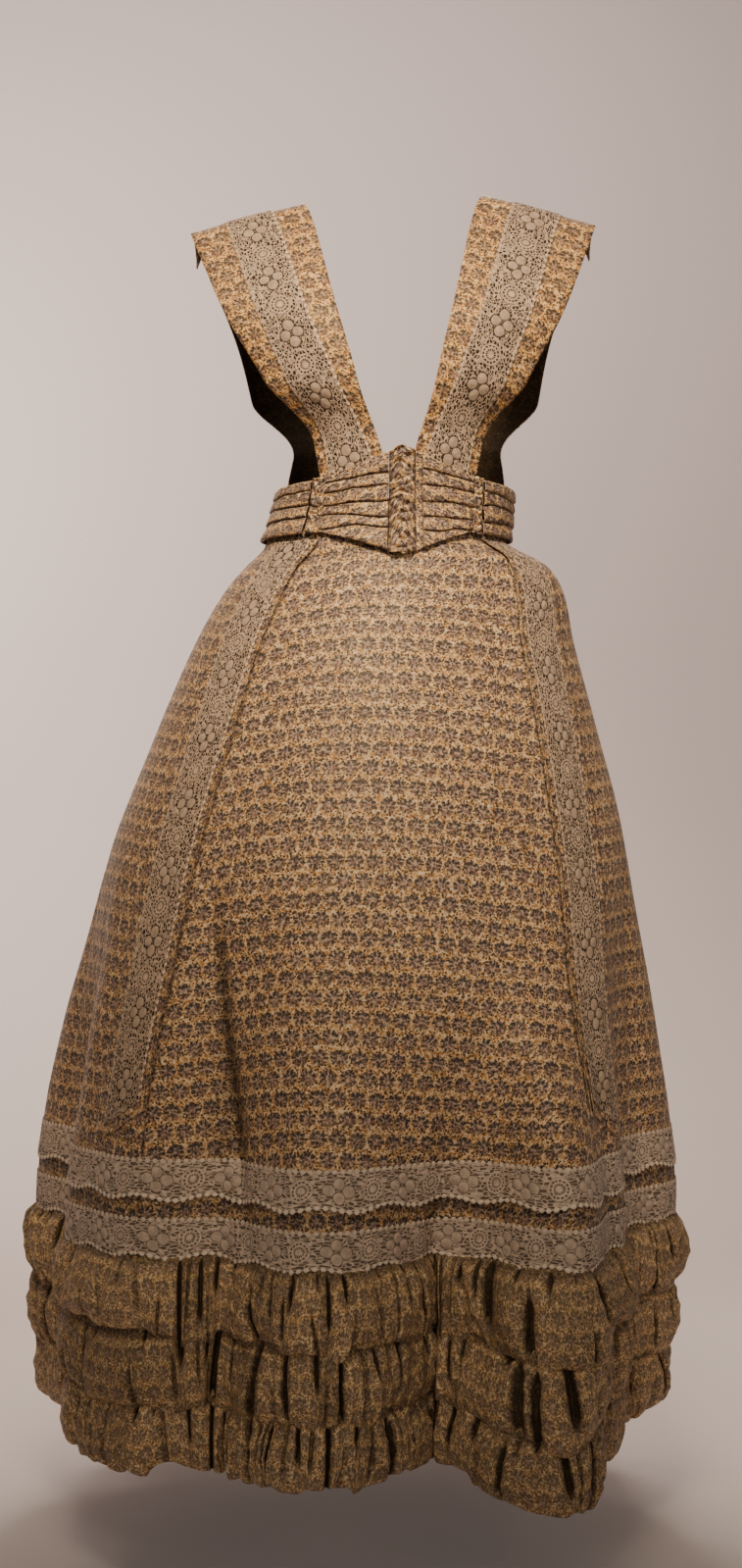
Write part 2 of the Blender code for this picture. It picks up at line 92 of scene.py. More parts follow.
# Lines down the skirt: column, bearing, distance aside, degrees of lean in the lower part
MERIDIANS = np.array([
    (0, -37.5, 0.0, 0.0),
    (18, 43.5, 0.0, -3.0),
    (21, 43.5, TAB_WIDTH, -3.0),
    (30, 106, 0.0, 0.0),
    (42, 180, 0.0, 0.0),
    (54, 254, 0.0, 0.0),
    (63, 322.5, -TAB_WIDTH, 0.0),
    (66, 322.5, 0.0, 0.0),
])
LEAN_START = 0.35
LEAN_RUN = 0.26
COLUMNS = 66
PANELS = {
    "front": (0, 18),
    "left": (18, 30),
    "back_left": (30, 42),
    "back_right": (42, 54),
    "right": (54, 66),
}

# Small creases on the skirt: bearing, top, bottom, depth, width, sideways drift in degrees.
# The first three are deep enough to get painted shade inside.
SKIRT_CREASES = [
    (-32.5, 0.37, 0.76, 0.0085, 0.010, 15.0),
    (-27, 0.52, 0.95, 0.0040, 0.016, 6.0),
    (15.2, 0.57, 1.30, 0.0110, 0.015, 1.5),
    (24, 0.60, 1.10, 0.0050, 0.012, 2.0),
    (-13, 0.50, 0.80, 0.0020, 0.018, 1.0),
    (8, 0.47, 0.80, 0.0025, 0.016, 3.0),
    (37, 0.12, 0.42, 0.0025, 0.010, 3.0),
    (33, 0.05, 0.30, 0.0018, 0.012, 2.0),
    (-31, 0.30, 0.60, 0.0016, 0.012, -2.0),
    (25, 0.55, 0.85, 0.0030, 0.012, 1.0),
    (72, 0.30, 0.80, 0.0040, 0.016, 3.0),
    (98, 0.25, 0.75, 0.0030, 0.014, -2.0),
    (-70, 0.35, 0.80, 0.0035, 0.014, -2.0),
    (-88, 0.22, 0.70, 0.0028, 0.012, 2.0),
    (-120, 0.20, 0.80, 0.0035, 0.015, 2.0),
    (120, 0.20, 0.80, 0.0035, 0.015, -2.0),
    (136, 0.04, 0.40, 0.0025, 0.012, 2.0),
    (152, 0.05, 0.60, 0.0030, 0.012, -1.0),
    (170, 0.04, 0.50, 0.0028, 0.012, 1.0),
    (-170, 0.04, 0.50, 0.0028, 0.012, -1.0),
    (-151, 0.05, 0.60, 0.0030, 0.012, 1.0),
    (-134, 0.04, 0.40, 0.0025, 0.012, -2.0),
]
DEEP_CREASES = 3

# The waistband: height, middle, half width and half depth of its inside; bearing, top and bottom edge
BELT_INSIDE = np.array([
    (-0.056, -0.0090, 0.1385, 0.1110),
    (-0.030, -0.0070, 0.1330, 0.1045),
    (0.000, -0.0010, 0.1290, 0.0995),
    (0.030, 0.0030, 0.1275, 0.0990),
    (0.066, 0.0050, 0.1260, 0.1005),
])
CENTRE_FRONT = 0.009
BELT_EDGES = np.array([
    (0, 0.0620, -0.0530),
    (7, 0.0560, -0.0490),
    (20, 0.0440, -0.0385),
    (36, 0.0320, -0.0280),
    (46, 0.0285, -0.0290),
    (90, 0.0230, -0.0315),
    (135, 0.0260, -0.0300),
    (180, 0.0300, -0.0320),
])
# Each length of the waistband: name, bearings, and for left (1) and right (-1) the heights of its
# fold lines at both ends
BELT_PIECES = [
    ("belt_front", 6.3, 36.7, {
        1: [(0.037, 0.0262), (0.0215, 0.0154), (0.004, -0.001), (-0.0131, -0.0145), (-0.029, -0.025)],
        -1: [
            (0.033, 0.0242), (0.0207, 0.0129), (0.0032, 0.0007), (-0.0114, -0.0105),
            (-0.0237, -0.0235),
        ],
    }),
    ("belt_side", 44.9, 104.1, {
        1: [(0.0150, 0.0110), (0.0020, -0.0030), (-0.0150, -0.0170)],
        -1: [(0.0170, 0.0120), (0.0030, -0.0010), (-0.0110, -0.0160)],
    }),
    ("belt_back", 104.3, 179.9, {
        1: [(0.0110, 0.0140), (-0.0030, 0.0000), (-0.0170, -0.0150)],
        -1: [(0.0120, 0.0140), (-0.0010, 0.0000), (-0.0160, -0.0150)],
    }),
]
RUCHES = [
    ("ruche_centre", -6.25, 6.25, 11, 0.0062),
    ("ruche_left", 36.85, 44.75, 6, 0.0052),
    ("ruche_right", -44.75, -36.85, 6, 0.0052),
]

# The bretelles, waist to shoulder to waist: along, inner edge, outer edge, crown
STATIONS = [
    (0.00, (0.010, -0.0962, 0.016), (0.080, -0.0745, 0.010), 0.0),
    (0.14, (0.017, -0.0990, 0.056), (0.090, -0.0770, 0.038), 0.001),
    (0.32, (0.034, -0.1055, 0.104), (0.118, -0.0815, 0.092), 0.002),
    (0.50, (0.046, -0.1065, 0.155), (0.145, -0.0815, 0.145), 0.004),
    (0.72, (0.063, -0.0900, 0.222), (0.180, -0.0700, 0.210), 0.004),
    (0.92, (0.085, -0.0320, 0.317), (0.211, -0.0280, 0.288), 0.002),
    (1.00, (0.0958, 0.0000, 0.3475), (0.2205, 0.0000, 0.314), 0.001),
    (1.08, (0.092, 0.0350, 0.324), (0.211, 0.0300, 0.292), 0.002),
    (1.32, (0.078, 0.0920, 0.220), (0.177, 0.0760, 0.206), 0.004),
    (1.64, (0.060, 0.1020, 0.110), (0.153, 0.0620, 0.106), 0.003),
    (1.86, (0.046, 0.0960, 0.046), (0.1290, 0.0330, 0.040), 0.001),
    (2.00, (0.042, 0.0920, 0.012), (0.1205, 0.0300, 0.008), 0.0),
]
TUCK = 0.0024
TUCK_HEIGHT = 0.066
BODICE_SHIFT = 0.005
SHOULDER = 0.345
SHOULDER_LOWER = 0.009

# Cloth thickness
SILK_THICK = 0.0009
LIGHT_THICK = 0.0008
STRAP_THICK = 0.0011
LACE_THICK = 0.0006

LACE_REPEAT = 0.0735
LACE_WIDTH = 0.056
BAND_WIDTH = 0.0445
# Both bands: name, top and bottom as drops below the waist
LACE_BANDS = [("lace_band_upper", 0.6655, 0.7075), ("lace_band_lower", 0.7225, 0.7640)]
SKIRT_TOP = 0.016
SKIRT_FOOT = 0.953
SKIRT_END = 0.955
FLOOR = -1.09
# Each flounce: name, head, foot, seed
TIERS = [
    ("flounce_top", 0.7600, 0.8360, 11),
    ("flounce_middle", 0.8240, 0.9020, 12),
    ("flounce_bottom", 0.8900, 0.9660, 13),
]


FULL_TURN = 2 * math.pi


def smooth(knots, values, at):
    """A smooth curve through the values at the knots, held level beyond both ends."""
    knots, values = np.asarray(knots, float), np.asarray(values, float)
    at = np.clip(at, knots[0], knots[-1])
    low = np.maximum(np.arange(len(knots)) - 1, 0)
    high = np.minimum(np.arange(len(knots)) + 1, len(knots) - 1)
    runs = knots[high] - knots[low]
    slopes = (values[high] - values[low]) / (runs[:, None] if values.ndim > 1 else runs)
    first = np.clip(np.searchsorted(knots, at, side="right") - 1, 0, len(knots) - 2)
    step = knots[first + 1] - knots[first]
    share = (at - knots[first]) / step
    if values.ndim > 1:
        step, share = step[..., None], share[..., None]
    square, cube = share**2, share**3
    return (
        values[first] * (2 * cube - 3 * square + 1)
        + slopes[first] * step * (cube - 2 * square + share)
        + values[first + 1] * (3 * square - 2 * cube)
        + slopes[first + 1] * step * (cube - square)
    )


def ease(share):
    share = np.clip(share, 0.0, 1.0)
    return share * share * (3 - 2 * share)


def bell(aside, width):
    return np.exp(-((aside / width) ** 2))


def unit(vectors):
    return vectors / np.maximum(np.linalg.norm(vectors, axis=-1, keepdims=True), 1e-12)


def ripple(across, down, seed, size):
    """Soft uneven undulation from about -1 to 1, with waves of about the given size."""
    rng = random.Random(seed)
    total = np.zeros(np.broadcast(across, down).shape)
    for _ in range(6):
        turn = rng.uniform(0, math.pi)
        reach = size * rng.uniform(0.7, 1.6) / FULL_TURN
        line = (across * math.cos(turn) + down * math.sin(turn)) / reach
        total += np.sin(line + rng.uniform(0, 6.3) + 0.8 * np.sin(line * 0.37 + rng.uniform(0, 6.3)))
    return total / 3.4


def belt_size(part, height):
    return smooth(BELT_INSIDE[:, 0], BELT_INSIDE[:, part], height)


def to_centre_front(height, bearing):
    """How far sideways the front of the waistband stands from its leaning rings."""
    return (CENTRE_FRONT - belt_size(1, height)) * np.maximum(np.cos(np.radians(bearing)), 0.0) ** 3


def bearing_at(column, drop, half_width):
    """The bearing of a skirt column, at a drop where the skirt is this wide."""
    turns, within = np.divmod(column, COLUMNS)
    leaning = ease((drop - LEAN_START) / LEAN_RUN)
    lines = [b + lean * leaning + np.degrees(aside / half_width) for _, b, aside, lean in MERIDIANS]
    found = lines[0] * np.ones(np.shape(within + leaning))
    for (start, *_), (end, *_), before, after in zip(MERIDIANS, MERIDIANS[1:], lines, lines[1:]):
        share = (within - start) / (end - start)
        found = np.where(within >= start, before * (1 - share) + after * share, found)
    return found + 360.0 * turns


def skirt_ground(column, drop):
    """A point of the skirt's outer face, and its bearing, before small creases."""
    column, drop = np.broadcast_arrays(np.asarray(column, float), np.asarray(drop, float))
    drops = SKIRT_SECTIONS[:, 0]
    right, left, front, back = (smooth(drops, SKIRT_SECTIONS[:, n], drop) for n in (1, 2, 3, 4))
    half_width, half_depth = (left - right) / 2, (back - front) / 2
    bearing = bearing_at(column, drop, half_width)
    turned = (bearing + 180.0) % 360.0 - 180.0
    first = np.clip(np.searchsorted(FOLDS[:, 0], turned, side="right") - 1, 0, len(FOLDS) - 2)
    before, after = FOLDS[first], FOLDS[first + 1]
    share = ease((turned - before[..., 0]) / (after[..., 0] - before[..., 0]))[..., None]
    out, starts, hangs = np.moveaxis((before * (1 - share) + after * share)[..., 1:], -1, 0)
    grown = ease((drop - starts) / FOLD_RUN)
    lower = hangs * ease((drop - HANG_START) / HANG_RUN)
    aside = to_centre_front(-drop, bearing) * (1 - ease((drop - 0.033) / 0.04))
    angle = np.radians(bearing)
    x = (left + right) / 2 + aside + np.sin(angle) * (half_width + out * grown)
    y = (front + back) / 2 - np.cos(angle) * (half_depth + out * grown)
    return np.stack([x, y, -drop - lower], axis=-1), turned, half_width


def crease_depth(creases, bearing, drop, half_width):
    """How deep these creases go at each place of the skirt."""
    dent = np.zeros(bearing.shape)
    for where, top, bottom, depth, width, drift in creases:
        run = (drop - top) / (bottom - top)
        aside = np.radians((bearing - where - drift * run + 180) % 360 - 180) * half_width
        dent += depth * bell(aside, width) * ease(run * 3) * ease((1.15 - run) * 2)
    return dent


def skirt(column, drop):
    """A point of the skirt's outer face, with its small creases."""
    point, bearing, half_width = skirt_ground(column, drop)
    dent = crease_depth(SKIRT_CREASES, bearing, drop, half_width)
    angle = np.radians(bearing)
    dent += 0.0011 * ripple(angle * 0.3, point[..., 2], 5, 0.16) * ease((drop - 0.08) / 0.3)
    point[..., 0] -= np.sin(angle) * dent
    point[..., 1] += np.cos(angle) * dent
    return point


def outward_of(form, across, down, step_across, step_down):
    """The way out of a form at each place, of length 1."""
    along = form(across + step_across, down) - form(across - step_across, down)
    fall = form(across, down + step_down) - form(across, down - step_down)
    return unit(np.cross(fall, along))


def on_skirt(column, drop, out):
    normal = outward_of(skirt, column, drop, 0.05, 0.0015)
    return skirt(column, drop) + normal * np.asarray(out)[..., None]


def arc(points, axis):
    """Distance along rows (axis 1) or down columns (axis 0), from the first point."""
    steps = np.linalg.norm(np.diff(points, axis=axis), axis=-1)
    start = np.zeros_like(np.take(steps, [0], axis=axis))
    return np.concatenate([start, np.cumsum(steps, axis=axis)], axis=axis)


def new_grid(columns, rows):
    bpy.ops.object.select_all(action="DESELECT")
    bpy.ops.mesh.primitive_grid_add(x_subdivisions=columns - 1, y_subdivisions=rows - 1)
    return bpy.context.object


def cloth(name, points, across, down, thick, finish, shade=None, wraps=False):
    """A thin shell through a grid of points (down, then towards the wearer's left), and its area."""
    rows, columns = points.shape[:2]
    piece = new_grid(columns, rows)
    piece.name = piece.data.name = name
    mesh = piece.data
    mesh.vertices.foreach_set("co", points[::-1].reshape(-1, 3).astype(np.float32).ravel())
    corners = np.empty(len(mesh.loops), np.int32)
    mesh.loops.foreach_get("vertex_index", corners)
    flat = np.stack([across[::-1].ravel(), down[::-1].ravel()], axis=1)
    mesh.uv_layers[0].name = "Cloth"
    mesh.uv_layers[0].data.foreach_set("uv", flat[corners].astype(np.float32).ravel())
    # Painted shade in folds, per point, which the finish reads to darken its colour.
    if shade is not None:
        depth = mesh.attributes.new("Shade", "FLOAT", "POINT")
        depth.data.foreach_set("value", np.clip(shade[::-1], 0, 1).astype(np.float32).ravel())
    mesh.update()
    if wraps:
        bpy.ops.object.mode_set(mode="EDIT")
        bpy.ops.mesh.select_all(action="SELECT")
        bpy.ops.mesh.remove_doubles(threshold=0.00002)
        bpy.ops.object.mode_set(mode="OBJECT")
    wall = piece.modifiers.new("Wall", "SOLIDIFY")
    wall.thickness = thick
    wall.offset = -1
    # Inner faces take the second finish; for silk that is the reverse, darkened as painted shade.
    wall.material_offset = 1
    mesh.materials.clear()
    mesh.materials.append(finish)
    mesh.materials.append(finish if finish in (LACE_LIGHT, LACE_HEM_PAINTED_LIGHT) else SILK_REVERSE_PAINTED_SHADE)
    bpy.ops.object.modifier_apply(modifier=wall.name)
    bpy.ops.object.shade_smooth()
    first = points[1:, 1:] - points[:-1, :-1]
    second = points[1:, :-1] - points[:-1, 1:]
    cells_area = np.linalg.norm(np.cross(first, second), axis=-1) / 2
    return piece, float(cells_area.sum())


def fit(sheet, nodes, width, length):
    """The sheet rides on the dress and stands for these solids; the width and length of its cut are
    worked out here but kept nowhere.
    """
    piece, area = sheet
    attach(piece, "root")
    if nodes:
        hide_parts(*nodes)
    width, length = float(width), float(length)
    if area > width * length:
        length = area / width


# Finishes


def feed(tree, node, values):
    """Links each wire or socket into the node's input, and sets each plain value there."""
    for place, value in values.items():
        value = value.socket if isinstance(value, Wire) else value
        if isinstance(value, bpy.types.NodeSocket):
            tree.links.new(value, node.inputs[place])
        else:
            node.inputs[place].default_value = value


class Wire:
    """A number that runs through a node tree; Python's signs add the nodes that work on it."""

    def __init__(self, tree, socket):
        self.tree = tree
        self.socket = socket

    def run(self, operation, *others):
        node = self.tree.nodes.new("ShaderNodeMath")
        node.operation = operation
        feed(self.tree, node, dict(enumerate((self, *others))))
        return Wire(self.tree, node.outputs[0])

    __add__ = functools.partialmethod(run, "ADD")
    __sub__ = functools.partialmethod(run, "SUBTRACT")
    __mul__ = functools.partialmethod(run, "MULTIPLY")
    __truediv__ = functools.partialmethod(run, "DIVIDE")
    size = functools.partialmethod(run, "ABSOLUTE")
    most = functools.partialmethod(run, "MAXIMUM")
    least = functools.partialmethod(run, "MINIMUM")
    opposite = functools.partialmethod(run, "MULTIPLY_ADD", -1.0, 1.0)

    def wave(self, turns, shift=0.0):
        return (self * turns + shift).run("COSINE")

    def around(self, period):
        """The distance from the middle of the repeat, from minus half to plus half of it."""
        return self.run("WRAP", period / 2, -period / 2)

    def below(self, edge, soft):
        """1 where the number is below the edge, and 0 above it."""
        node = self.tree.nodes.new("ShaderNodeMapRange")
        node.interpolation_type = "SMOOTHSTEP"
        ends = {"From Min": edge - soft, "From Max": edge + soft, "To Min": 1, "To Max": 0}
        feed(self.tree, node, {"Value": self, **ends})
        return Wire(self.tree, node.outputs["Result"])


def length(across, down):
    return (across * across + down * down).run("SQRT")


def node_group(name, outputs, kind="NodeSocketFloat", **numbers):
    """An empty shader group that reads the cloth's place and these numbers, and its two end nodes."""
    tree = bpy.data.node_groups.new(name, "ShaderNodeTree")
    tree.interface.new_socket("Cloth", in_out="INPUT", socket_type="NodeSocketVector")
    for label, value in numbers.items():
        socket = tree.interface.new_socket(label, in_out="INPUT", socket_type="NodeSocketFloat")
        socket.default_value = value
    for label in outputs:
        tree.interface.new_socket(label, in_out="OUTPUT", socket_type=kind)
    return tree, tree.nodes.new("NodeGroupInput"), tree.nodes.new("NodeGroupOutput")


def split(tree, vector):
    parts = tree.nodes.new("ShaderNodeSeparateXYZ")
    feed(tree, parts, {0: vector})
    return Wire(tree, parts.outputs[0]), Wire(tree, parts.outputs[1])


def join(tree, across, down):
    whole = tree.nodes.new("ShaderNodeCombineXYZ")
    feed(tree, whole, {0: across, 1: down})
    return whole.outputs[0]


def speckle(tree, vector, scale, detail=2.0):
    noise = tree.nodes.new("ShaderNodeTexNoise")
    feed(tree, noise, {"Vector": vector, "Scale": scale, "Detail": detail})
    return Wire(tree, noise.outputs["Fac"])


def blend(tree, share, first, second, way="MIX"):
    """Two colours mixed; each is a socket or a plain colour."""
    node = tree.nodes.new("ShaderNodeMix")
    node.data_type = "RGBA"
    node.blend_type = way
    colours = ((*value, 1.0) if isinstance(value, tuple) else value for value in (first, second))
    feed(tree, node, dict(zip((0, 6, 7), (share, *colours))))
    return node.outputs[2]


def drawn_by_hand(tree, place, shift, scale):
    """Two soft noises about zero, to make lines unsteady along and across."""
    first, second = split(tree, place)
    turned = join(tree, second + shift, first)
    return [speckle(tree, vector, scale, 1.0) - 0.5 for vector in (place, turned)]


def cells(tree, place, size, feature):
    node = tree.nodes.new("ShaderNodeTexVoronoi")
    node.feature = feature
    feed(tree, node, {"Vector": place, "Scale": 1 / size, "Randomness": 0.9})
    return Wire(tree, node.outputs["Distance"])


SPRIG = 0.0198  # the flowers' repeat


def floral_print():
    """Small mauve-brown and slate flowers in staggered rows on gold, among dark ticks and cream lines."""
    tree, start, end = node_group("Floral print", ["Color"], "NodeSocketColor")
    place = start.outputs["Cloth"]
    across, down = split(tree, place)
    hand, hand_down = drawn_by_hand(tree, place, 3.1, 300.0)
    row = (down / SPRIG).run("FLOOR")
    odd = row.run("MODULO", 2.0).size()
    x = (across + odd * (SPRIG / 2)).around(SPRIG) + hand * 0.0030
    y = (down + SPRIG / 2).around(SPRIG) + hand_down * 0.0030
    reach = length(x, y * 1.06)
    petals = (y.run("ARCTAN2", x) + odd * 0.35).wave(8.0)
    body = reach.below(petals * 0.0021 + 0.0062, 0.0016)
    spokes = petals.below(-0.05, 0.4) * reach.below(0.0088, 0.0008)
    spokes = spokes * reach.below(0.0038, 0.0008).opposite()
    spokes = spokes * (y.below(0.001, 0.003) * 0.25 + 0.75)
    brow = (y + 0.0056 - x.size() * 0.3).size().below(0.0014, 0.0005) * x.size().below(0.0080, 0.0006)
    dot = length(x, y - 0.0036).below(0.0017, 0.0005)
    marks = spokes.most(brow * odd * 0.6).most(dot * odd * 0.9)
    rim = (reach - petals * 0.0010 - 0.0094).size().below(0.0010, 0.0005)

    tick = cells(tree, place, 0.0030, "F1").below(0.38, 0.06)
    broken = speckle(tree, place, 240.0, 1.0)
    line = cells(tree, place, 0.0037, "DISTANCE_TO_EDGE").below(0.115, 0.05)
    line = line * broken.below(0.45, 0.05).opposite()
    sprig = cells(tree, join(tree, down, across), 0.0037, "DISTANCE_TO_EDGE").below(0.08, 0.05)
    sprig = sprig * broken.below(0.5, 0.05)
    cloudy = speckle(tree, place, 90.0, 3.0)
    patch = speckle(tree, place, 19.0, 2.0)

    ground = blend(tree, cloudy.below(0.5, 0.12), (0.66, 0.335, 0.095), (0.41, 0.185, 0.06))
    ground = blend(tree, sprig * 0.75, ground, (0.30, 0.215, 0.105))
    cream = line.most(rim * broken.below(0.5, 0.08) * 0.4) * 0.95
    ground = blend(tree, cream, ground, (0.98, 0.80, 0.56))
    ground = blend(tree, tick * 0.95, ground, (0.035, 0.027, 0.024))
    upper = (y / SPRIG * 2.0 + 0.5).below(0.45, 0.35)
    bloom = blend(tree, upper, (0.30, 0.185, 0.175), (0.165, 0.145, 0.17))
    bloom = blend(tree, line * 0.7, bloom, (0.74, 0.57, 0.42))
    bloom = blend(tree, tick * 0.8, bloom, (0.045, 0.036, 0.04))
    colour = blend(tree, body * 0.88, ground, bloom)
    colour = blend(tree, marks * 0.92, colour, (0.022, 0.026, 0.042))
    colour = blend(tree, (patch - 0.35) * 0.4, colour, blend(tree, 0.5, colour, (0.30, 0.17, 0.10)))
    feed(tree, end, {"Color": colour})
    return tree


def silk_weave():
    """The cross ribs of taffeta, with thick and thin threads, and soft uneven creasing."""
    tree, start, end = node_group("Silk weave", ["Height", "Crease", "Slub", "Crumple"])
    place = start.outputs["Cloth"]
    across, down = split(tree, place)
    ribs = down.wave(FULL_TURN / 0.0007) * 0.5 + across.wave(FULL_TURN / 0.0005) * 0.3
    slub = speckle(tree, join(tree, across * 30.0, down * 900.0), 1.0, 2.0)
    crease = speckle(tree, place, 42.0, 4.0)
    crumple = speckle(tree, join(tree, across * 95.0, down * 34.0), 1.0, 3.0)
    feed(tree, end, {"Height": ribs + slub * 1.2, "Crease": crease, "Slub": slub, "Crumple": crumple})
    return tree


def tape_lace():
    """Four-petalled flowers and ringed rosettes in turn, on a fine uneven net between looped edges."""
    labels = {"Width": 0.05, "Loop": 0.006, "Stretch": 0.8, "Outline": 1.0}
    tree, start, end = node_group("Tape lace", ["Thread", "Relief", "Bars", "Loops"], **labels)
    width, loop, stretch, outline = (Wire(tree, start.outputs[label]) for label in labels)
    place = start.outputs["Cloth"]
    along, across = split(tree, place)
    half = width * 0.5
    wobble, wobble_across = drawn_by_hand(tree, place, 2.3, 150.0)
    flat_y = across - half
    y = flat_y + wobble * 0.0024
    x = (along - LACE_REPEAT * 0.25).around(LACE_REPEAT) + wobble_across * 0.0024
    lobes_along = length((x.size() - 0.0098) / 0.0066, y / 0.0062)
    lobes_across = length((y.size() - 0.0074) / 0.0062, x / 0.0060)
    petal_reach = lobes_along.least(lobes_across)
    petal = petal_reach.below(0.94, 0.06)
    gap = (petal_reach.below(1.13, 0.06) * outline).opposite()
    bars = petal_reach.wave(FULL_TURN * 4.0).below(-0.2, 0.5) * petal

    ring_x = (along - LACE_REPEAT * 0.75).around(LACE_REPEAT) + wobble_across * 0.0024
    reach = length(ring_x, y)
    rings = (reach - 0.0108).size().below(0.0012, 0.0004)
    rings = rings.most((reach - 0.0068).size().below(0.0011, 0.0004)).most(reach.below(0.0038, 0.0005))
    spokes = y.run("ARCTAN2", ring_x).wave(14.0).below(-0.2, 0.5) * reach.below(0.0105, 0.0004)

    stretched = join(tree, along * stretch + wobble * 0.006, across * 1.1)
    net = cells(tree, stretched, 0.0034, "DISTANCE_TO_EDGE").below(0.135, 0.05)
    edge_place = flat_y.size() - half + loop * 0.42
    edge = edge_place.size().below(0.0006, 0.0003)
    loops = length(along.around(0.0078), edge_place).below(loop * 0.42, 0.0003)
    inside = edge_place.below(0.0, 0.0002)
    inner_net = net * gap * reach.below(0.0120, 0.0003).opposite()
    thread = petal.most(rings).most(spokes).most(inner_net) * inside
    thread = thread.most(edge).most(loops)
    relief = petal * petal_reach.opposite() * 0.9 + thread * 0.7 - bars * 0.3 + loops * 0.3
    bars = bars.most(net * inside * 0.15)
    feed(tree, end, {"Thread": thread, "Relief": relief, "Bars": bars, "Loops": loops})
    return tree


def shaded_material(name):
    made = bpy.data.materials.new(name)
    made.use_nodes = True
    tree = made.node_tree
    return made, tree, tree.nodes["Principled BSDF"]


def use_group(tree, group, **values):
    node = tree.nodes.new("ShaderNodeGroup")
    node.node_tree = group
    feed(tree, node, values)
    return node


def cloth_place(tree):
    uv = tree.nodes.new("ShaderNodeUVMap")
    uv.uv_map = "Cloth"
    return uv.outputs[0]


def add_bump(tree, shader, height, strength, distance, **after):
    bump = tree.nodes.new("ShaderNodeBump")
    feed(tree, bump, {"Strength": strength, "Distance": distance, "Height": height, **after})
    feed(tree, shader, {"Normal": bump.outputs[0]})
    return bump.outputs[0]


def fold_shade(tree, colour):
    """The colour with painted shade: darker where the piece's own Shade attribute says that a fold closes
    over it.
    """
    depth = tree.nodes.new("ShaderNodeAttribute")
    depth.attribute_name = "Shade"
    return blend(tree, Wire(tree, depth.outputs["Fac"]) * 0.92, colour, (0.012, 0.007, 0.004))


SILK_GLINT = (1.0, 0.80, 0.55, 1.0)


def printed_silk(name, shade, rough, dull, crumpled):
    """The printed taffeta: shade tints it, and paints warm light on the bretelles, light on the flounces
    and shade on the reverse side; dull greys it like dust, and crumpled creases it.
    """
    made, tree, shader = shaded_material(name)
    place = cloth_place(tree)
    pattern = use_group(tree, PRINT, Cloth=place)
    weave = use_group(tree, WEAVE, Cloth=place)
    slub, crease = (Wire(tree, weave.outputs[label]) for label in ("Slub", "Crease"))
    tint = blend(tree, (slub - 0.35) * 0.5, (0.86, 0.84, 0.80), (1.06, 1.03, 0.98))
    colour = blend(tree, 1.0, pattern.outputs["Color"], tint, "MULTIPLY")
    colour = blend(tree, dull, colour, (0.25, 0.17, 0.10))
    grain = speckle(tree, place, 480.0, 2.0)
    colour = blend(tree, grain.below(0.49, 0.09) * dull * 1.2, colour, (0.07, 0.045, 0.027))
    colour = blend(tree, 1.0, colour, shade, "MULTIPLY")
    gloss = crease * 0.16 + rough - 0.08
    feed(tree, shader, {"Base Color": fold_shade(tree, colour), "Roughness": gloss})
    feed(tree, shader, {"Specular IOR Level": 0.30, "Specular Tint": SILK_GLINT})
    feed(tree, shader, {"Sheen Weight": 0.03, "Sheen Roughness": 0.4, "Sheen Tint": SILK_GLINT})
    soft = add_bump(tree, shader, weave.outputs["Crumple"], crumpled, 0.006)
    add_bump(tree, shader, weave.outputs["Height"], 0.15, 0.0002, Normal=soft)
    return made


def lace_finish(name, colour, width, loop, stretch, outline, painted_hole_shade, cover):
    """Lace whose holes are filled with a dark colour as painted shade, under an open looped edge."""
    made, tree, shader = shaded_material(name)
    place = cloth_place(tree)
    lace = use_group(tree, LACE, Cloth=place, Width=width, Loop=loop, Stretch=stretch, Outline=outline)
    worn = speckle(tree, place, 130.0, 3.0)
    dark = tuple(part * 0.66 for part in colour)
    tone = blend(tree, worn.below(0.5, 0.2), colour, dark)
    thread, bars, loops = (Wire(tree, lace.outputs[label]) for label in ("Thread", "Bars", "Loops"))
    tone = blend(tree, bars * 0.5, tone, dark)
    light = tuple(min(part * 1.35, 1.0) for part in colour)
    across = split(tree, place)[1]
    lower = across.below(width * 0.5, 0.001).opposite()
    tone = blend(tree, loops * (lower * 0.55 + 0.2), tone, light)
    # The holes take a dark colour: painted shade in the gaps of the net.
    tone = blend(tree, thread.opposite(), tone, painted_hole_shade)
    rim = (across - width * 0.5).size().below(width * 0.5 - loop * 0.42, 0.0002)
    # Inside its edges the holes are partly opaque, so that the painted shade covers the cloth below.
    feed(tree, shader, {"Base Color": tone, "Alpha": thread.most(rim * cover)})
    feed(tree, shader, {"Roughness": 0.8, "Specular IOR Level": 0.25, "Sheen Weight": 0.08})
    add_bump(tree, shader, lace.outputs["Relief"], 0.9, 0.0018)
    return made


PRINT = floral_print()
WEAVE = silk_weave()
LACE = tape_lace()
SILK = printed_silk("printed silk", (1.02, 0.94, 0.87), 0.50, 0.0, 0.12)
# The bretelles' copy, warmer and brighter: painted warm light on the top of the dress.
SILK_PAINTED_WARM_LIGHT = printed_silk("printed silk, painted warm light", (1.08, 0.90, 0.66), 0.50, 0.0, 0.12)
# The flounces' copy: dull and speckled like dust, and its tint raised well above the others as painted
# light where the lamps leave the hem dark.
SILK_DUSTY_PAINTED_LIGHT = printed_silk("printed silk, dusty, painted light", (1.80, 1.72, 1.52), 0.60, 0.42, 0.8)
# The reverse side: duller, and darkened to about a third as painted shade on every inner face.
SILK_REVERSE_PAINTED_SHADE = printed_silk("printed silk, reverse, painted shade", (0.30, 0.26, 0.21), 0.7, 0.6, 0.1)
LACE_LIGHT = lace_finish(
    "lace, light", (0.66, 0.455, 0.30), LACE_WIDTH, loop=0.005, stretch=0.85, outline=0.8,
    painted_hole_shade=(0.06, 0.038, 0.022), cover=0.65,
)
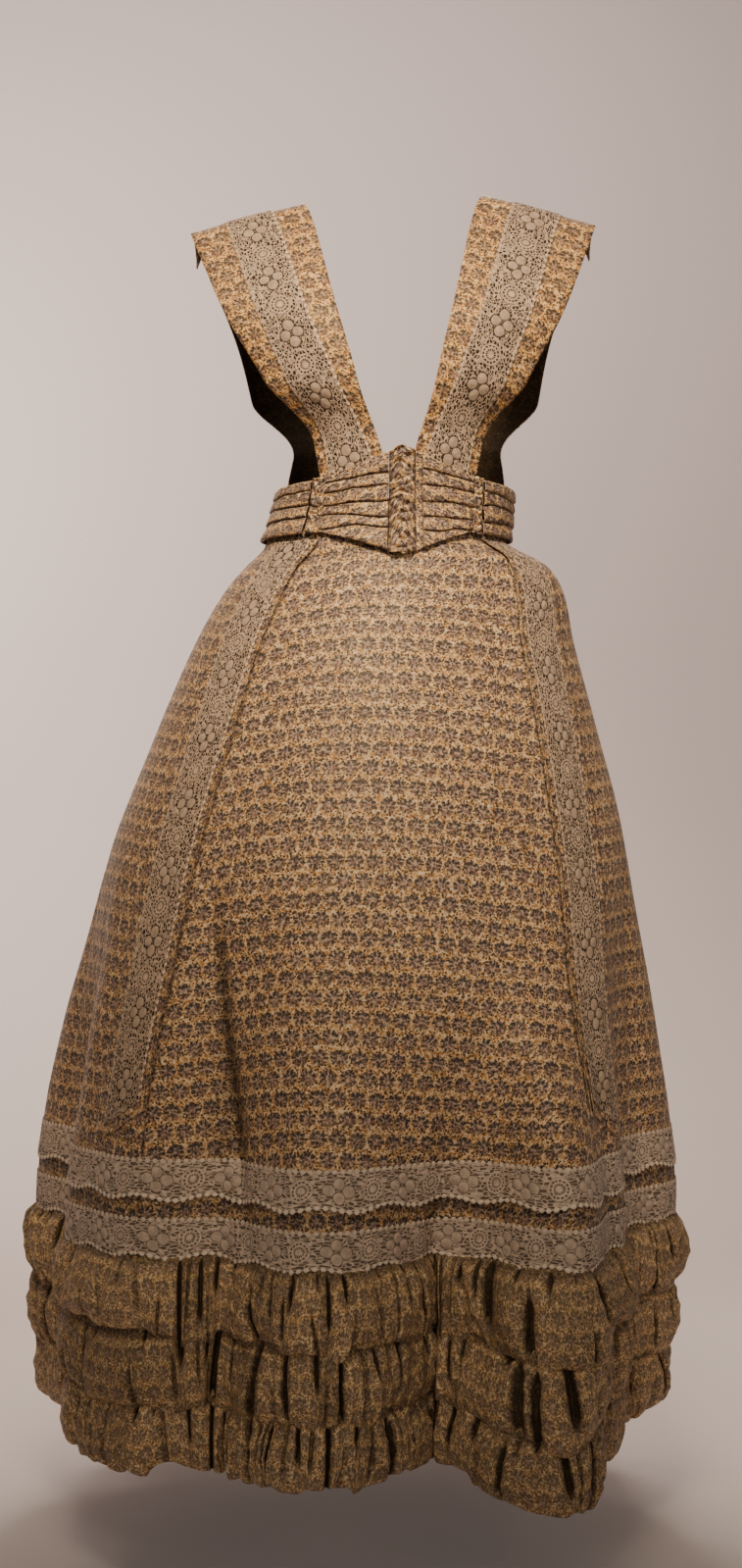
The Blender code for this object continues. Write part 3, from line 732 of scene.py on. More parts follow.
# The hem lace: its colour raised as painted light where the lamps leave the hem dark.
LACE_HEM_PAINTED_LIGHT = lace_finish(
    "lace, hem, painted light", (0.80, 0.59, 0.43), BAND_WIDTH, loop=0.0065, stretch=0.45, outline=0.4,
    painted_hole_shade=(0.20, 0.14, 0.095), cover=0.8,
)


# The skirt


SEAM = 0.01  # of a column, that a gore ends before its seam
GORE_APEX = 0.32  # how far above the waist a gore's flat sides would meet
BANDS_MEET = 0.7110  # drop of the shaded strip between the lace bands


def skirt_panel(name, start, end):
    """One gore, and its print laid out as on flat flared cloth."""
    columns = np.linspace(start, end, round((end - start) * 4.5) + 1)
    columns[0] += SEAM
    columns[-1] -= SEAM
    drops = np.concatenate([np.linspace(SKIRT_TOP, 0.10, 16)[:-1], np.linspace(0.10, SKIRT_FOOT, 122)])
    column, drop = np.meshgrid(columns, drops)
    points = on_skirt(column, drop, np.zeros_like(column))
    round_it, fall = arc(points, 1), arc(points, 0)
    middle = round_it[:, [len(columns) // 2]]
    across = round_it - middle
    turn = across / (GORE_APEX + fall)
    down = (GORE_APEX + fall) * np.cos(turn) - GORE_APEX
    _, bearing, half_width = skirt_ground(column, drop)
    # Painted shade inside the deep creases, and painted shadow in the strip under the upper lace band.
    deep = crease_depth(SKIRT_CREASES[:DEEP_CREASES], bearing, drop, half_width * 1.5)
    shade = np.maximum(0.9 * deep / 0.0085, 0.40 * bell(drop - BANDS_MEET, 0.0085))
    sheet = cloth(f"silk_gore_{name}", points, across, down, SILK_THICK, SILK, shade)
    fit(sheet, [f"skirt_{name}"], round_it[:, -1].max(), fall.max())


for panel, (first_column, last_column) in PANELS.items():
    skirt_panel(panel, first_column, last_column)


TAB_TOP = 0.036
STITCH = 0.0035


def tab(side, start, step):
    """The silk band down the side front, with a lapped inner edge, and its lace, both mitred."""
    layers = [
        ("silk_tab_{}", 0.0, 3.0, 0.0012, LIGHT_THICK, 0.619, 0.650, SILK, "printed_silk", "tab_{}"),
        (
            "lace_tab_{}_cloth", 0.30, 2.40, 0.0021, LACE_THICK, 0.606, 0.638, LACE_LIGHT, "lace",
            "lace_tab_{}",
        ),
    ]
    for label, near, far, out, thick, corner, tip, finish, slot, node in layers:
        label = label.format(side)
        places = np.linspace(near, far, 21)
        if near == 0:
            places = np.concatenate([[0, 0.02, 0.05, 0.09, 0.14, 0.2, 0.3], np.linspace(0.45, 3, 15)])
        place, share = np.meshgrid(places if step > 0 else places[::-1], np.linspace(0, 1, 150))
        foot = corner + (tip - corner) * np.clip(place / 2.0, 0, 1)
        drop = TAB_TOP + (foot - TAB_TOP) * share
        lift = np.full_like(place, out)
        shade = None
        if near == 0:
            uneven = 1 + 0.5 * ripple(place * 0.01, drop, 21 + step, 0.09)
            lift += 0.0018 * bell(place, 0.07) * uneven
            stitch = 0.5 + 0.5 * np.sign(np.sin(drop * 2 * math.pi / STITCH))
            # Painted shadow just inside the lapped inner edge, and dark stitches along it.
            shade = 0.75 * bell(place - 0.16, 0.022) + 0.25 * stitch * bell(place, 0.05)
        points = on_skirt(start + step * place, drop, lift)
        along, width = arc(points, 0), arc(points, 1)
        if finish is LACE_LIGHT:
            even = width / width[:, -1:] * LACE_WIDTH
            sheet = cloth(label, points, along, even, thick, finish)
        else:
            sheet = cloth(label, points, width, along, thick, finish, shade)
        fit(sheet, [node.format(side)], width.max(), along.max())


tab("right", COLUMNS, -1)
tab("left", 18, 1)


def lace_band(name, top, bottom):
    """Lace round the skirt, scalloped below."""
    columns = np.linspace(0, COLUMNS, 661)
    column, share = np.meshgrid(columns, np.linspace(0, 1, 15))
    ground = arc(skirt(columns, np.full_like(columns, (top + bottom) / 2))[None], 1)[0]
    count = round(ground[-1] / LACE_REPEAT)
    along = ground / ground[-1] * count * LACE_REPEAT
    scallop = 0.0030 * (1 - np.cos(along / LACE_REPEAT * 2 * math.pi))
    drop = top + (bottom + scallop - 0.004 - top) * share
    points = on_skirt(column, drop, 0.0013 + 0.0012 * share**2)
    points[:, -1] = points[:, 0]
    along = np.broadcast_to(along, share.shape)
    across = BAND_WIDTH * share
    sheet = cloth(f"{name}_cloth", points, along, across, LACE_THICK, LACE_HEM_PAINTED_LIGHT, wraps=True)
    fit(sheet, [name], ground[-1], bottom - top + 0.004)


for band in LACE_BANDS:
    lace_band(*band)


# Flounces

# A puff's section: share of its fall, how far out
PUFF = np.array([
    (0.00, 0.0010), (0.06, 0.0055), (0.16, 0.0115), (0.40, 0.0170), (0.65, 0.0195), (0.85, 0.0185),
    (1.00, 0.0145),
])
# Where its lower edge turns under: share of its fall, how far in from the puff's foot
TURNED_UNDER = np.array([(1.03, 0.0022), (1.02, 0.0052), (0.97, 0.0080), (0.90, 0.0095)])
PUFF_ROWS = 21
SIDE_COLUMNS = (27.0, 57.0)
MINOR_CREASES = 90
GATHER = 0.0115
# Creases of each flounce across the front, grouped by their top: column, lean, bottom, width and
# depth in mm. Top and bottom are shares of the fall.
FRONT_CREASES = {
    "flounce_top": {
        -0.1: [
            (-8.4, -0.39, 0.6, 2.5, 8), (-7.43, -0.59, 1.2, 2, 6), (-0.71, -1.2, 0.15, 1.5, 5),
            (0.49, -1.2, 0.18, 1.5, 5), (1.54, -0.04, 1.2, 2.2, 10), (2.26, -0.11, 0.9, 2, 8),
            (2.89, -0.17, 0.55, 3, 11), (3.78, 0.43, 0.35, 4.5, 13), (5.9, 0.47, 1.2, 1.5, 7),
            (6.64, 0.04, 0.6, 2.5, 9), (7.46, -0.06, 0.3, 1.5, 6), (7.8, 0.01, 0.8, 2, 8),
            (8.31, 0.12, 0.5, 2, 8), (9.51, 0.33, 0.3, 1.5, 5), (10.55, 0.07, 0.7, 2.5, 10),
            (11.14, 0.32, 1.2, 2, 9), (12.09, 0.05, 1.2, 2.5, 9), (12.53, 0.43, 1.3, 4, 14),
            (14.16, 0.23, 0.6, 1.8, 7), (14.39, 0.05, 0.9, 3, 14), (14.83, 0.1, 0.3, 1.5, 6),
            (15.32, 0.22, 0.35, 2, 8), (15.79, 0.35, 0.25, 1.5, 5), (16.46, 1.2, 0.75, 2.5, 9),
            (19.38, 0.84, 0.7, 3.4, 12), (24.67, 0.38, 1.2, 1.6, 6),
        ],
        0: [(13.67, 0.35, 0.5, 2, 8), (25.31, 0.92, 0.7, 2, 7)],
        0.1: [(5.18, 0.22, 1.3, 3, 12), (23.66, -0.47, 0.5, 1.5, 6)],
        0.2: [(15.03, 0.14, 1.1, 2.4, 12)],
        0.5: [(16.12, 0.11, 1.3, 2, 9)],
    },
    "flounce_middle": {
        -0.1: [
            (-9.06, -0.18, 1.1, 2.5, 10), (-7.82, -0.55, 0.9, 2, 8), (-0.65, -0.68, 0.2, 1.4, 5),
            (0.44, -0.32, 0.35, 1.6, 6), (1.5, -0.51, 0.6, 3, 11), (2.52, -0.78, 0.6, 2.6, 10),
            (2.95, -0.43, 1.1, 4.2, 13), (4.12, -0.37, 0.9, 2, 8), (5.5, -0.41, 1.2, 2.6, 10),
            (6.55, 0.19, 1.1, 2.8, 11), (7.46, 0.12, 0.7, 2, 8), (8.26, -0.05, 1.2, 2.5, 10),
            (10.26, -0.07, 0.9, 2.2, 9), (11.64, -0.11, 0.7, 2.6, 10), (12.63, 0.27, 1.3, 4, 14),
            (14.0, 0.02, 0.6, 1.6, 6), (14.43, -0.21, 0.25, 1.6, 5), (14.81, -0.06, 0.4, 3, 10),
            (15.67, 0.39, 0.9, 2.8, 12), (19.27, -0.09, 1.3, 3.2, 14), (19.96, 0.47, 1.3, 3.4, 14),
            (25.67, 0.53, 0.9, 2.4, 10),
        ],
        0: [
            (-2.49, -0.5, 1.2, 2.2, 8), (9.24, 0.33, 0.6, 1.8, 6), (13.6, 0.27, 0.9, 2, 7),
            (24.19, 0.74, 0.4, 1.4, 5),
        ],
        0.1: [(14.97, 0.09, 1.2, 2.4, 10)],
        0.15: [(15.21, 0.12, 1.3, 2.2, 10)],
    },
    "flounce_bottom": {
        -0.1: [
            (-8.35, -0.61, 1.3, 2.5, 10), (-3.33, -1.2, 1.3, 2.8, 10), (-1.3, -0.76, 0.3, 1.5, 5),
            (0.1, -0.4, 0.5, 2, 8), (0.66, -0.2, 0.4, 1.5, 6), (5.09, 0.16, 1.2, 3, 12),
            (6.98, 0.15, 0.8, 1.8, 7), (8.74, -0.17, 0.6, 1.8, 7), (11.02, -0.01, 0.9, 2, 8),
            (13.01, 0.28, 1.3, 4.2, 14), (14.38, -0.1, 0.6, 2, 7), (15.28, 0.08, 0.4, 2, 8),
            (16.59, 0.29, 1.3, 3.2, 14), (18.88, 0.08, 1.3, 3.4, 14), (24.08, 0.32, 0.8, 2, 8),
        ],
        0: [
            (1.67, 0.08, 0.8, 1.5, 6), (2.64, -0.11, 1.2, 2.4, 10), (7.88, -0.03, 1.3, 2.6, 10),
            (13.88, -0.08, 0.9, 2, 7), (15.68, 0.35, 0.9, 1.8, 8), (25.43, 0.94, 1.1, 2, 8),
        ],
        0.1: [
            (3.49, -0.19, 1.3, 3.4, 13), (6.15, -0.22, 0.9, 2, 8), (9.79, 0.32, 1.2, 2.4, 9),
            (11.85, 0.24, 1.3, 2.6, 11),
        ],
        0.2: [(14.85, -0.02, 1.1, 1.8, 8)],
    },
}
COLUMN_MM = 34.5


def all_creases(name, seed):
    """The creases across the front, and like ones round the rest; none leans over its neighbour."""
    rng = random.Random(seed)
    groups = FRONT_CREASES[name].items()
    found = [(c % COLUMNS, lean, top, *rest) for top, rows in groups for c, lean, *rest in rows]
    place, side_end = SIDE_COLUMNS
    while place < side_end:
        runs = [(-0.1, 1.3), (-0.1, 1.2), (-0.1, 0.6), (0.1, 1.2), (-0.1, 0.35), (0.3, 1.2)]
        top, bottom = rng.choice(runs)
        width = rng.uniform(1.6, 4.0)
        found.append((place, rng.uniform(-0.5, 0.5), top, bottom, width, 4.0 + 2.4 * width))
        place += rng.uniform(0.35, 1.35)
    for step in range(MINOR_CREASES):
        place = (step + rng.uniform(0.1, 0.9)) * COLUMNS / MINOR_CREASES
        if min(abs(place - other[0]) for other in found) > 0.16:
            top, bottom = rng.choice([(-0.1, 0.5), (-0.1, 0.9), (0.2, 1.0), (0.4, 1.2), (-0.1, 1.2)])
            lean, width, depth = rng.uniform(-0.4, 0.4), rng.uniform(1.5, 2.6), rng.uniform(2.5, 5.0)
            found.append((place, lean, top, bottom, width, depth))
    found = np.array(sorted(found))
    apart = 0.6 * np.diff(found[:, 0])
    for n in range(1, len(found)):
        found[n, 1] = max(found[n, 1], found[n - 1, 1] - apart[n - 1])
    for n in range(len(found) - 2, -1, -1):
        found[n, 1] = min(found[n, 1], found[n + 1, 1] + apart[n])
    return found


def between(places, before, after, columns):
    """Values that run straight from one crease to the next, and change quickly at each crease."""
    turned = np.concatenate([places - COLUMNS, places, places + COLUMNS])
    knots = np.stack([turned - 0.07, turned + 0.07], axis=1).ravel()
    return np.interp(columns, knots, np.tile(np.stack([before, after], axis=1).ravel(), 3))


def flounce(name, head, foot, seed, above):
    """A gathered and puffed band all round, with narrow deep creases, whose lower edge turns under."""
    covered = (above - head) / (foot - head)
    creases = all_creases(name, seed)
    spread = np.array([-2.4, -1.4, -0.8, -0.3, 0.3, 0.8, 1.4, 2.4])
    near = creases[:, :1] + creases[:, 4:5] / COLUMN_MM * 0.6 * spread
    columns = np.sort(np.concatenate([np.linspace(0, COLUMNS, 560), near.ravel() % COLUMNS]))
    columns = columns[np.concatenate([[True], np.diff(columns) > 0.012])]
    columns[-1] = COLUMNS
    falls = np.concatenate([np.linspace(0, 1, PUFF_ROWS) ** 1.1, TURNED_UNDER[:, 0]])
    ins = np.concatenate([np.zeros(PUFF_ROWS), TURNED_UNDER[:, 1]])
    column, fall = np.meshgrid(columns, falls)
    turned = np.concatenate([creases[:, 0] - COLUMNS, creases[:, 0], creases[:, 0] + COLUMNS])
    leaning = np.interp(column, turned, np.tile(creases[:, 1], 3))
    place = column * COLUMN_MM / 1000
    out = smooth(PUFF[:, 0], PUFF[:, 1], np.minimum(fall, 1.0)) - ins[:, None]
    grown = ease((fall + 0.05) / 0.22)
    shade = np.zeros_like(out)
    dent = np.zeros_like(out)
    for where, _, top, bottom, width, depth in creases:
        aside = (column - where + COLUMNS / 2) % COLUMNS - COLUMNS / 2
        strength = ease((fall - top) * 4) * ease((bottom - fall) * 4)
        width = width / COLUMN_MM * 1.05 * (0.3 + 0.7 * strength)
        slot = strength * bell(aside, width)
        beside = bell(np.abs(aside) - 3 * width, 2.2 * width)
        dent += depth / 900 * slot - 0.00028 * depth * strength * beside
        # Painted shade inside each crease.
        shade = np.maximum(shade, np.minimum(slot * 2.0, 1.0) ** 2 * min(depth / 5.5, 1.0))
    main = creases[creases[:, 5] > 5.0, 0]
    apart = np.diff(np.append(main, main[0] + COLUMNS)) * COLUMN_MM / 1000
    rng = random.Random(seed + 40)
    tilts = np.array([rng.uniform(-1, 1) * min(0.0048, 0.13 * wide) for wide in apart])
    ends = np.array([rng.uniform(-0.0065, 0.0065) for _ in main])
    # Each panel between main creases gets its own painted shade, as if it faced the light at its own
    # angle.
    facet_shades = np.array([rng.uniform(0, 0.34) for _ in main])
    tilted = between(main, np.roll(tilts, 1) / 2, -tilts / 2, columns)
    out = out - (dent - tilted) * grown
    shade = np.maximum(shade, between(main, np.roll(facet_shades, 1), facet_shades, columns) * np.ones_like(fall))
    # Painted shadow under the lower edge of the piece above.
    shade = np.maximum(shade, 0.72 * bell(fall - covered, 0.045))
    gathers = np.abs(np.sin(place * math.pi / GATHER + 1.6 * np.sin(place * 37 + seed)))
    out = out + 0.0022 * (gathers - 0.6) * np.exp(-fall / 0.14)
    # Painted shade between the gathers at the head.
    shade = np.maximum(shade, 0.8 * (1 - gathers) ** 3 * bell(fall, 0.16))
    out = out - 0.0042 * np.abs(ripple(place, fall * (foot - head) * 0.5, seed, 0.060)) * grown
    out = out - 0.0022 * np.abs(ripple(place, fall * (foot - head) * 0.8, seed + 5, 0.024)) * grown
    out = np.maximum(out, 0.0009)
    level = place * 0
    sag = 0.0030 * ripple(place, level, seed + 9, 0.13) + 0.0020 * ripple(place, level, seed + 7, 0.03)
    sag = sag + between(main, np.roll(ends, 1), ends, columns)
    drop = head + (foot + sag - head) * fall
    column = column + leaning * fall
    normal = outward_of(skirt, column, np.minimum(drop, SKIRT_END - 0.001), 0.25, 0.004)
    normal[..., 2] = 0.0
    normal = unit(normal)
    points = skirt(column, np.minimum(drop, SKIRT_END))
    points[..., 2] -= np.maximum(drop - SKIRT_END, 0.0)
    points = points + normal * out[..., None]
    points[:, -1] = points[:, 0]
    gathered = arc(points[9:10], 1)[0]
    across = 1.3 * np.broadcast_to(gathered, column.shape)
    across = across + 0.003 * ripple(place, fall * 0.08, seed, 0.06)
    down = arc(points, 0)
    uneven = down + 0.010 * ripple(place, level, seed + 2, 0.12)
    uneven = uneven + 0.002 * ripple(place, fall * 0.08, seed + 3, 0.05)
    label = f"{name}_gathered"
    sheet = cloth(label, points, across, uneven, LIGHT_THICK, SILK_DUSTY_PAINTED_LIGHT, shade, wraps=True)
    nodes = [f"{name}_{panel}" for panel in PANELS]
    fit(sheet, nodes, gathered[-1], down.mean(axis=1).max())


for tier, above_it in zip(TIERS, [LACE_BANDS[1][2], TIERS[0][2], TIERS[1][2]]):
    flounce(*tier, above_it)


# The waistband


WAIST_RADIUS = 0.11
FLAT_END = 9.3  # bearing up to which the front's lapped end is not pleated


def belt_point(bearing, height, out):
    middle = belt_size(1, height) + to_centre_front(height, bearing)
    angle = np.radians(bearing)
    x = middle + np.sin(angle) * (belt_size(2, height) + out)
    y = -np.cos(angle) * (belt_size(3, height) + out)
    return np.stack([x, y, height + 0 * x], axis=-1)


def belt_edges(bearing):
    return (np.interp(np.abs(bearing), BELT_EDGES[:, 0], BELT_EDGES[:, n]) for n in (1, 2))


def belt_piece(name, start, end, side, lines):
    """One length of the waistband: rounded pleats, each with a sharp fold line below it."""
    side_name = "left" if side > 0 else "right"
    bearings = side * np.linspace(start, end, round((end - start) * 1.6) + 1)
    if side < 0:
        bearings = bearings[::-1]
    within = (np.abs(bearings) - start) / (end - start)
    top, bottom = belt_edges(bearings)
    seed = len(name) + side
    reach, level = np.radians(bearings) * WAIST_RADIUS, bearings * 0
    folds = [top]
    for number, (near, far) in enumerate(lines):
        wander = 0.0016 * ripple(reach, level, seed + number, 0.045)
        folds.append(near + (far - near) * within + wander)
    folds = np.stack([*folds, bottom])
    steps = np.array([0.0, 0.04, 0.09, 0.17, 0.30, 0.46, 0.62, 0.76, 0.86, 0.93, 0.97])
    heights, proud, shade = [], [], []
    for number, (above, below) in enumerate(zip(folds, folds[1:])):
        tall = above - below
        fade = 0.55 + 0.45 * ripple(reach, level, seed + number + 20, 0.05)
        for step in [*steps, 1.0] if number == len(folds) - 2 else steps:
            heights.append(above - tall * step)
            swell = (1 - np.abs(2 * step - 1) ** 6.0) ** 0.7
            swell = 0.0030 * swell * np.sqrt(np.clip(tall / 0.013, 0.3, 1.5))
            proud.append(swell * (0.65 + 0.6 * step))
            edge = np.minimum(step, 1 - step) * tall
            edge = np.where((number == 0) & (step < 0.5), 1.0, edge)
            # Painted shade along each fold line, stronger in places.
            shade.append(bell(edge, 0.0009) * np.clip(fade + 0.25, 0.2, 1.0))
    heights, proud, shade = (np.stack(rows) for rows in (heights, proud, shade))
    bearing = np.broadcast_to(bearings, heights.shape)
    flat = 1.0
    if name == "belt_front" and side > 0:
        flat = ease((bearing - FLAT_END) / 0.7)
        # Painted shade along the edge of the front's lapped end.
        shade = np.maximum(shade * flat, 0.8 * bell(bearing - FLAT_END, 0.22))
    out = 0.0016 + proud * flat + 0.0004 * ripple(reach, heights, seed + 3, 0.025)
    points = belt_point(bearing, heights, out)
    across, down = arc(points, 1), arc(points, 0)
    node = f"{name}_{side_name}"
    sheet = cloth(f"{node}_pleated", points, across, down * 1.4, SILK_THICK, SILK, shade)
    fit(sheet, [node], across.max(), down.max())


for piece_name, piece_start, piece_end, piece_lines in BELT_PIECES:
    for piece_side in (1, -1):
        belt_piece(piece_name, piece_start, piece_end, piece_side, piece_lines[piece_side])


def ruche(name, start, end, gathers, proud):
    """A strip drawn up on its threads, so that it stands in small uneven ridges."""
    bearings = np.linspace(start, end, 37)
    bearing, share = np.meshgrid(bearings, np.linspace(0, 1, gathers * 16 + 1))
    top, bottom = belt_edges(bearing)
    across = (bearing - start) / (end - start)
    seed = gathers + int(abs(start)) + (start < 0)
    tall = top - bottom
    lean = 0.55 * ripple(across * 0.02, share * tall, seed, 0.028)
    phase = share * gathers + lean + 0.5 * np.abs(across - 0.5)
    ridge = np.abs(np.sin(np.pi * phase)) ** 0.8
    lump = 0.5 + 0.5 * ripple(across * 0.022, share * tall, seed + 4, 0.011)
    swell = np.sin(np.pi * np.clip(across, 0.0, 1.0)) ** 0.45
    out = 0.0012 + proud * swell * (0.25 + 0.42 * ridge + 0.42 * lump)
    wander = 0.05 * ripple(share * tall, share * 0, seed + 8, 0.02)
    inset = np.minimum(across - 0.05 + wander, 0.97 - across + wander)
    sides = bell(inset, 0.07) * (0.6 + 0.4 * np.sin(share * gathers * 9 + seed))
    # Painted shade in the hollows between ridges and along both sides of the strip.
    shade = np.clip(1 - ridge * 2.1 - lump * 0.5, 0, 0.9) * swell + 0.8 * sides
    height = top + 0.0012 * ripple(across * 0.02, share * 0, seed, 0.01) - tall * share
    points = belt_point(bearing, height, out)
    width, down = arc(points, 1), arc(points, 0)
    sheet = cloth(f"{name}_gathered", points, width, down, LIGHT_THICK, SILK, shade)
    fit(sheet, [name], width.max(), down.mean(axis=1).max())


for strip in RUCHES:
    ruche(*strip)


# The bretelles

ALONG = [station[0] for station in STATIONS]


def strap_edge(side, edge, along):
    """The inner (1) or outer (2) edge of a bretelle's inner face."""
    point = smooth(ALONG, [station[edge] for station in STATIONS], along)
    share = ease(point[..., 2] / SHOULDER)
    lower = SHOULDER_LOWER * share if side < 0 else 0.0
    x = BODICE_SHIFT * (1 - share) + side * point[..., 0]
    return np.stack([x, point[..., 1], point[..., 2] - lower], axis=-1)


def strap(side, along, across):
    """A point of a bretelle's inner face, drawn in where the waistband closes over it."""
    inner, outer = strap_edge(side, 1, along), strap_edge(side, 2, along)
    wide = across[..., None]

    def straight(at):
        return strap_edge(side, 1, at) * (1 - wide) + strap_edge(side, 2, at) * wide

    run = straight(np.minimum(along + 0.01, 2.0)) - straight(np.maximum(along - 0.01, 0.0))
    normal = unit(np.cross(outer - inner, run) * side)
    crown = smooth(ALONG, [station[3] for station in STATIONS], along) * 4 * across * (1 - across)
    point = inner + (outer - inner) * wide + normal * crown[..., None]
    bearing = np.degrees(np.arctan2(point[..., 0], -point[..., 1]))
    height = point[..., 2]
    x = point[..., 0] - belt_size(1, height) - to_centre_front(height, bearing)
    reach = np.hypot(x / (belt_size(2, height) - TUCK), point[..., 1] / (belt_size(3, height) - TUCK))
    hold = (np.minimum(1.0 / reach, 1.0) - 1.0) * (1.0 - ease((height - TUCK_HEIGHT) / TUCK_HEIGHT))
    point[..., 0] += x * hold
    point[..., 1] *= 1 + hold
    return point, normal


def over_strap(side, along, across, out):
    """Points this far outside a bretelle's inner face, slightly uneven between its edges."""
    point, normal = strap(side, along, across)
    wave = 0.0007 * ripple(across * 0.12, along * 0.45, 7 + side, 0.06)
    return point + normal * (out + wave * np.sin(np.pi * across))[..., None]


def bretelle(side, side_name):
    """The front and back lengths over one shoulder, and the lace down their middle."""
    runs = {"front": np.linspace(0.0, 0.9985, 90), "back": np.linspace(1.0015, 2.0, 90)}
    for half, alongs in runs.items():
        acrosses = np.linspace(0, 1, 29)
        across, along = np.meshgrid(acrosses if side > 0 else acrosses[::-1], alongs)
        if half == "front":
            across, along = across[::-1], along[::-1]
        else:
            across = across[:, ::-1]
        points = over_strap(side, along, across, 0.0016)
        width, run = arc(points, 1), arc(points, 0)
        node = f"bretelle_{half}_{side_name}"
        sheet = cloth(f"silk_{node}", points, width, run, STRAP_THICK, SILK_PAINTED_WARM_LIGHT)
        fit(sheet, [node], width.max(), run.max())
    alongs = np.linspace(0.10, 1.90, 200)
    wide = np.linalg.norm(strap_edge(side, 2, alongs) - strap_edge(side, 1, alongs), axis=-1)
    shares = np.linspace(-0.5, 0.5, 17)
    across = 0.49 + (shares if side > 0 else -shares)[None, :] * (LACE_WIDTH / wide)[:, None]
    along = np.broadcast_to(alongs[:, None], across.shape)
    across, along = across[::-1], along[::-1]
    points = over_strap(side, along, across, 0.0026)
    width, run = arc(points, 1), arc(points, 0)
    even = width / width[:, -1:] * LACE_WIDTH
    node = f"lace_bretelle_{side_name}"
    sheet = cloth(f"{node}_cloth", points, run, even, LACE_THICK, LACE_LIGHT)
    fit(sheet, [node], width.max(), run.max())


def shoulder_corner(side, side_name):
    """A small loose corner of silk that drops behind the outer end of the shoulder."""
    across, fall = np.meshgrid(np.linspace(0, 1, 9), np.linspace(0, 1, 13))
    across = across[:, ::-1] if side < 0 else across
    tip = strap(side, np.array([[1.012]]), np.array([[0.985]]))[0][0, 0]
    reach = 0.017 * (1 - fall) + 0.0006
    x = tip[0] - side * reach * (1 - across) - side * 0.0035 * fall
    y = tip[1] + 0.004 + 0.002 * np.sin(across * 5 + fall * 4)
    points = np.stack([x, y + 0 * x, tip[2] - 0.036 * fall + 0.002 * across], axis=-1)
    width, run = arc(points, 1), arc(points, 0)
    sheet = cloth(f"silk_corner_{side_name}", points, width, run, LIGHT_THICK, SILK_DUSTY_PAINTED_LIGHT)
    fit(sheet, [], width.max(), run.max())


bretelle(1, "left")
bretelle(-1, "right")
shoulder_corner(1, "left")
shoulder_corner(-1, "right")


# Room, light and camera

SWEEP_ROWS = 41
SWEEP_FLAT = 6.4
SWEEP_BEND = 1.1
# Lamps: name, place, aim, size, power, colour, spread
LAMPS = [
    ("key light", (-0.18, -1.45, 1.45), (-0.03, -0.1, 0.16), (0.7, 0.5), 4.8, (1.0, 0.86, 0.67), 44.0),
    ("fill light", (1.1, -2.4, 0.4), (0.31, -0.2, -0.24), (0.5, 0.5), 0.60, (1.0, 0.90, 0.78), 34.0),
    ("hem light", (-0.3, -2.2, -0.8), (-0.05, -0.3, -0.98), (0.5, 0.3), 0.20, (1.0, 0.91, 0.80), 36.0),
    ("back light", (0.0, 1.7, 1.5), (0.0, 0.2, -0.3), (0.8, 0.4), 4.5, (1.0, 0.93, 0.85), 70.0),
    ("wall light", (-0.5, 1.0, 1.4), (-0.5, 2.5, -0.2), (2.4, 0.8), 38.0, (1.0, 0.88, 0.83), 180.0),
    ("wall glow", (-1.3, 1.4, 0.25), (-0.8, 2.6, 0.2), (0.8, 0.8), 22.0, (1.0, 0.89, 0.83), 180.0),
    ("floor light", (0.0, 0.6, 1.5), (0.0, 0.6, FLOOR), (3.0, 1.0), 8.0, (1.0, 0.87, 0.75), 180.0),
]
EYE = (-0.024, -2.70, -0.294)
FOCAL_LENGTH = 2523.0  # in pixels of the picture
PICTURE_HEIGHT = 1599.0
SENSOR = 36.0


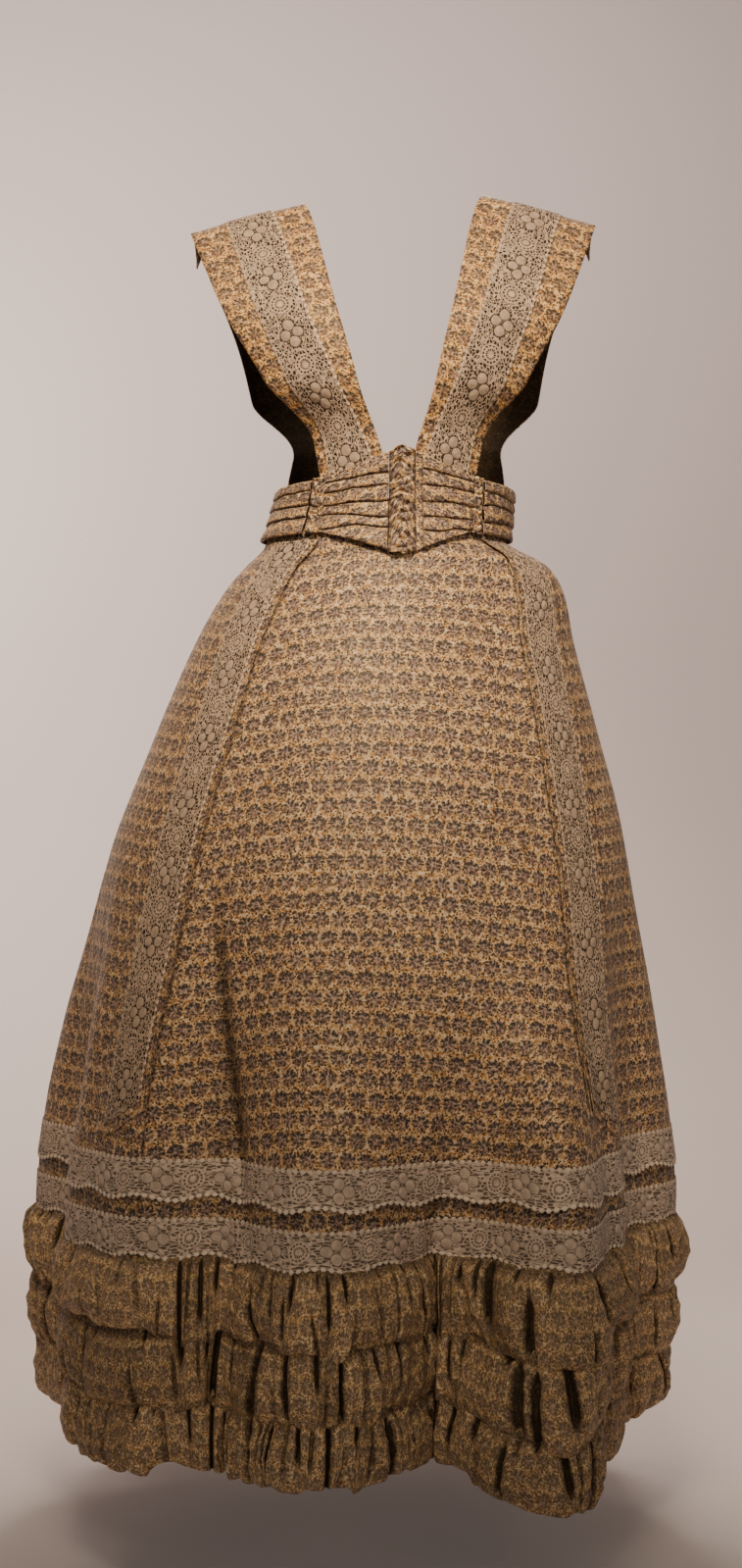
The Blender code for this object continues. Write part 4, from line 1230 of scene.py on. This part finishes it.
def paper(colour):
    """Matt pale paper, clear from behind so that it hides nothing from the back."""
    made, tree, shader = shaded_material("studio paper")
    behind = Wire(tree, tree.nodes.new("ShaderNodeNewGeometry").outputs["Backfacing"])
    feed(tree, shader, {"Base Color": (*colour, 1.0), "Roughness": 0.9, "Alpha": behind.opposite()})
    feed(tree, shader, {"Emission Color": (0.62, 0.50, 0.45, 1.0), "Emission Strength": 0.10})
    return made


def soft_light(name, place, aim, size, power, colour, spread):
    light = bpy.data.lights.new(name, "AREA")
    light.shape = "RECTANGLE"
    light.size, light.size_y = size
    light.energy = power
    light.spread = math.radians(spread)
    light.color = colour
    lamp = bpy.data.objects.new(name, light)
    bpy.context.scene.collection.objects.link(lamp)
    lamp.location = place
    x, y, z = np.array(aim, float) - np.array(place, float)
    lamp.rotation_euler = (math.atan2(math.hypot(x, y), -z), 0.0, math.atan2(-x, y))


def studio():
    """A pale floor that sweeps up into the wall behind, and soft lamps."""
    sweep = new_grid(3, SWEEP_ROWS)
    sweep.name = "studio_sweep"
    reach = np.linspace(0, 12, SWEEP_ROWS)
    turn = np.clip((reach - SWEEP_FLAT) / SWEEP_BEND, 0, math.pi / 2)
    ahead = np.minimum(reach, SWEEP_FLAT) - 5.0 + SWEEP_BEND * np.sin(turn)
    upright = np.maximum(reach - SWEEP_FLAT - SWEEP_BEND * math.pi / 2, 0)
    above = FLOOR + SWEEP_BEND * (1 - np.cos(turn)) + upright
    x = np.linspace(-7, 7, 3)
    grid = np.stack([np.tile(x, SWEEP_ROWS), np.repeat(ahead, 3), np.repeat(above, 3)], axis=1)
    sweep.data.vertices.foreach_set("co", grid.ravel())
    sweep.data.update()
    bpy.ops.object.shade_smooth()
    sweep.data.materials.append(paper((0.62, 0.535, 0.49)))

    for lamp in LAMPS:
        soft_light(*lamp)
    world = bpy.data.worlds.new("studio air")
    world.use_nodes = True
    air = world.node_tree
    feed(air, air.nodes["Background"], {"Color": (0.80, 0.80, 0.82, 1.0), "Strength": 0.07})
    bpy.context.scene.world = world


def camera():
    lens = bpy.data.cameras.new("camera")
    lens.sensor_width = SENSOR
    lens.lens = SENSOR * FOCAL_LENGTH / PICTURE_HEIGHT
    eye = bpy.data.objects.new("camera", lens)
    bpy.context.scene.collection.objects.link(eye)
    eye.location = EYE
    eye.rotation_euler = (math.radians(90), 0.0, 0.0)
    bpy.context.scene.camera = eye


studio()
camera()
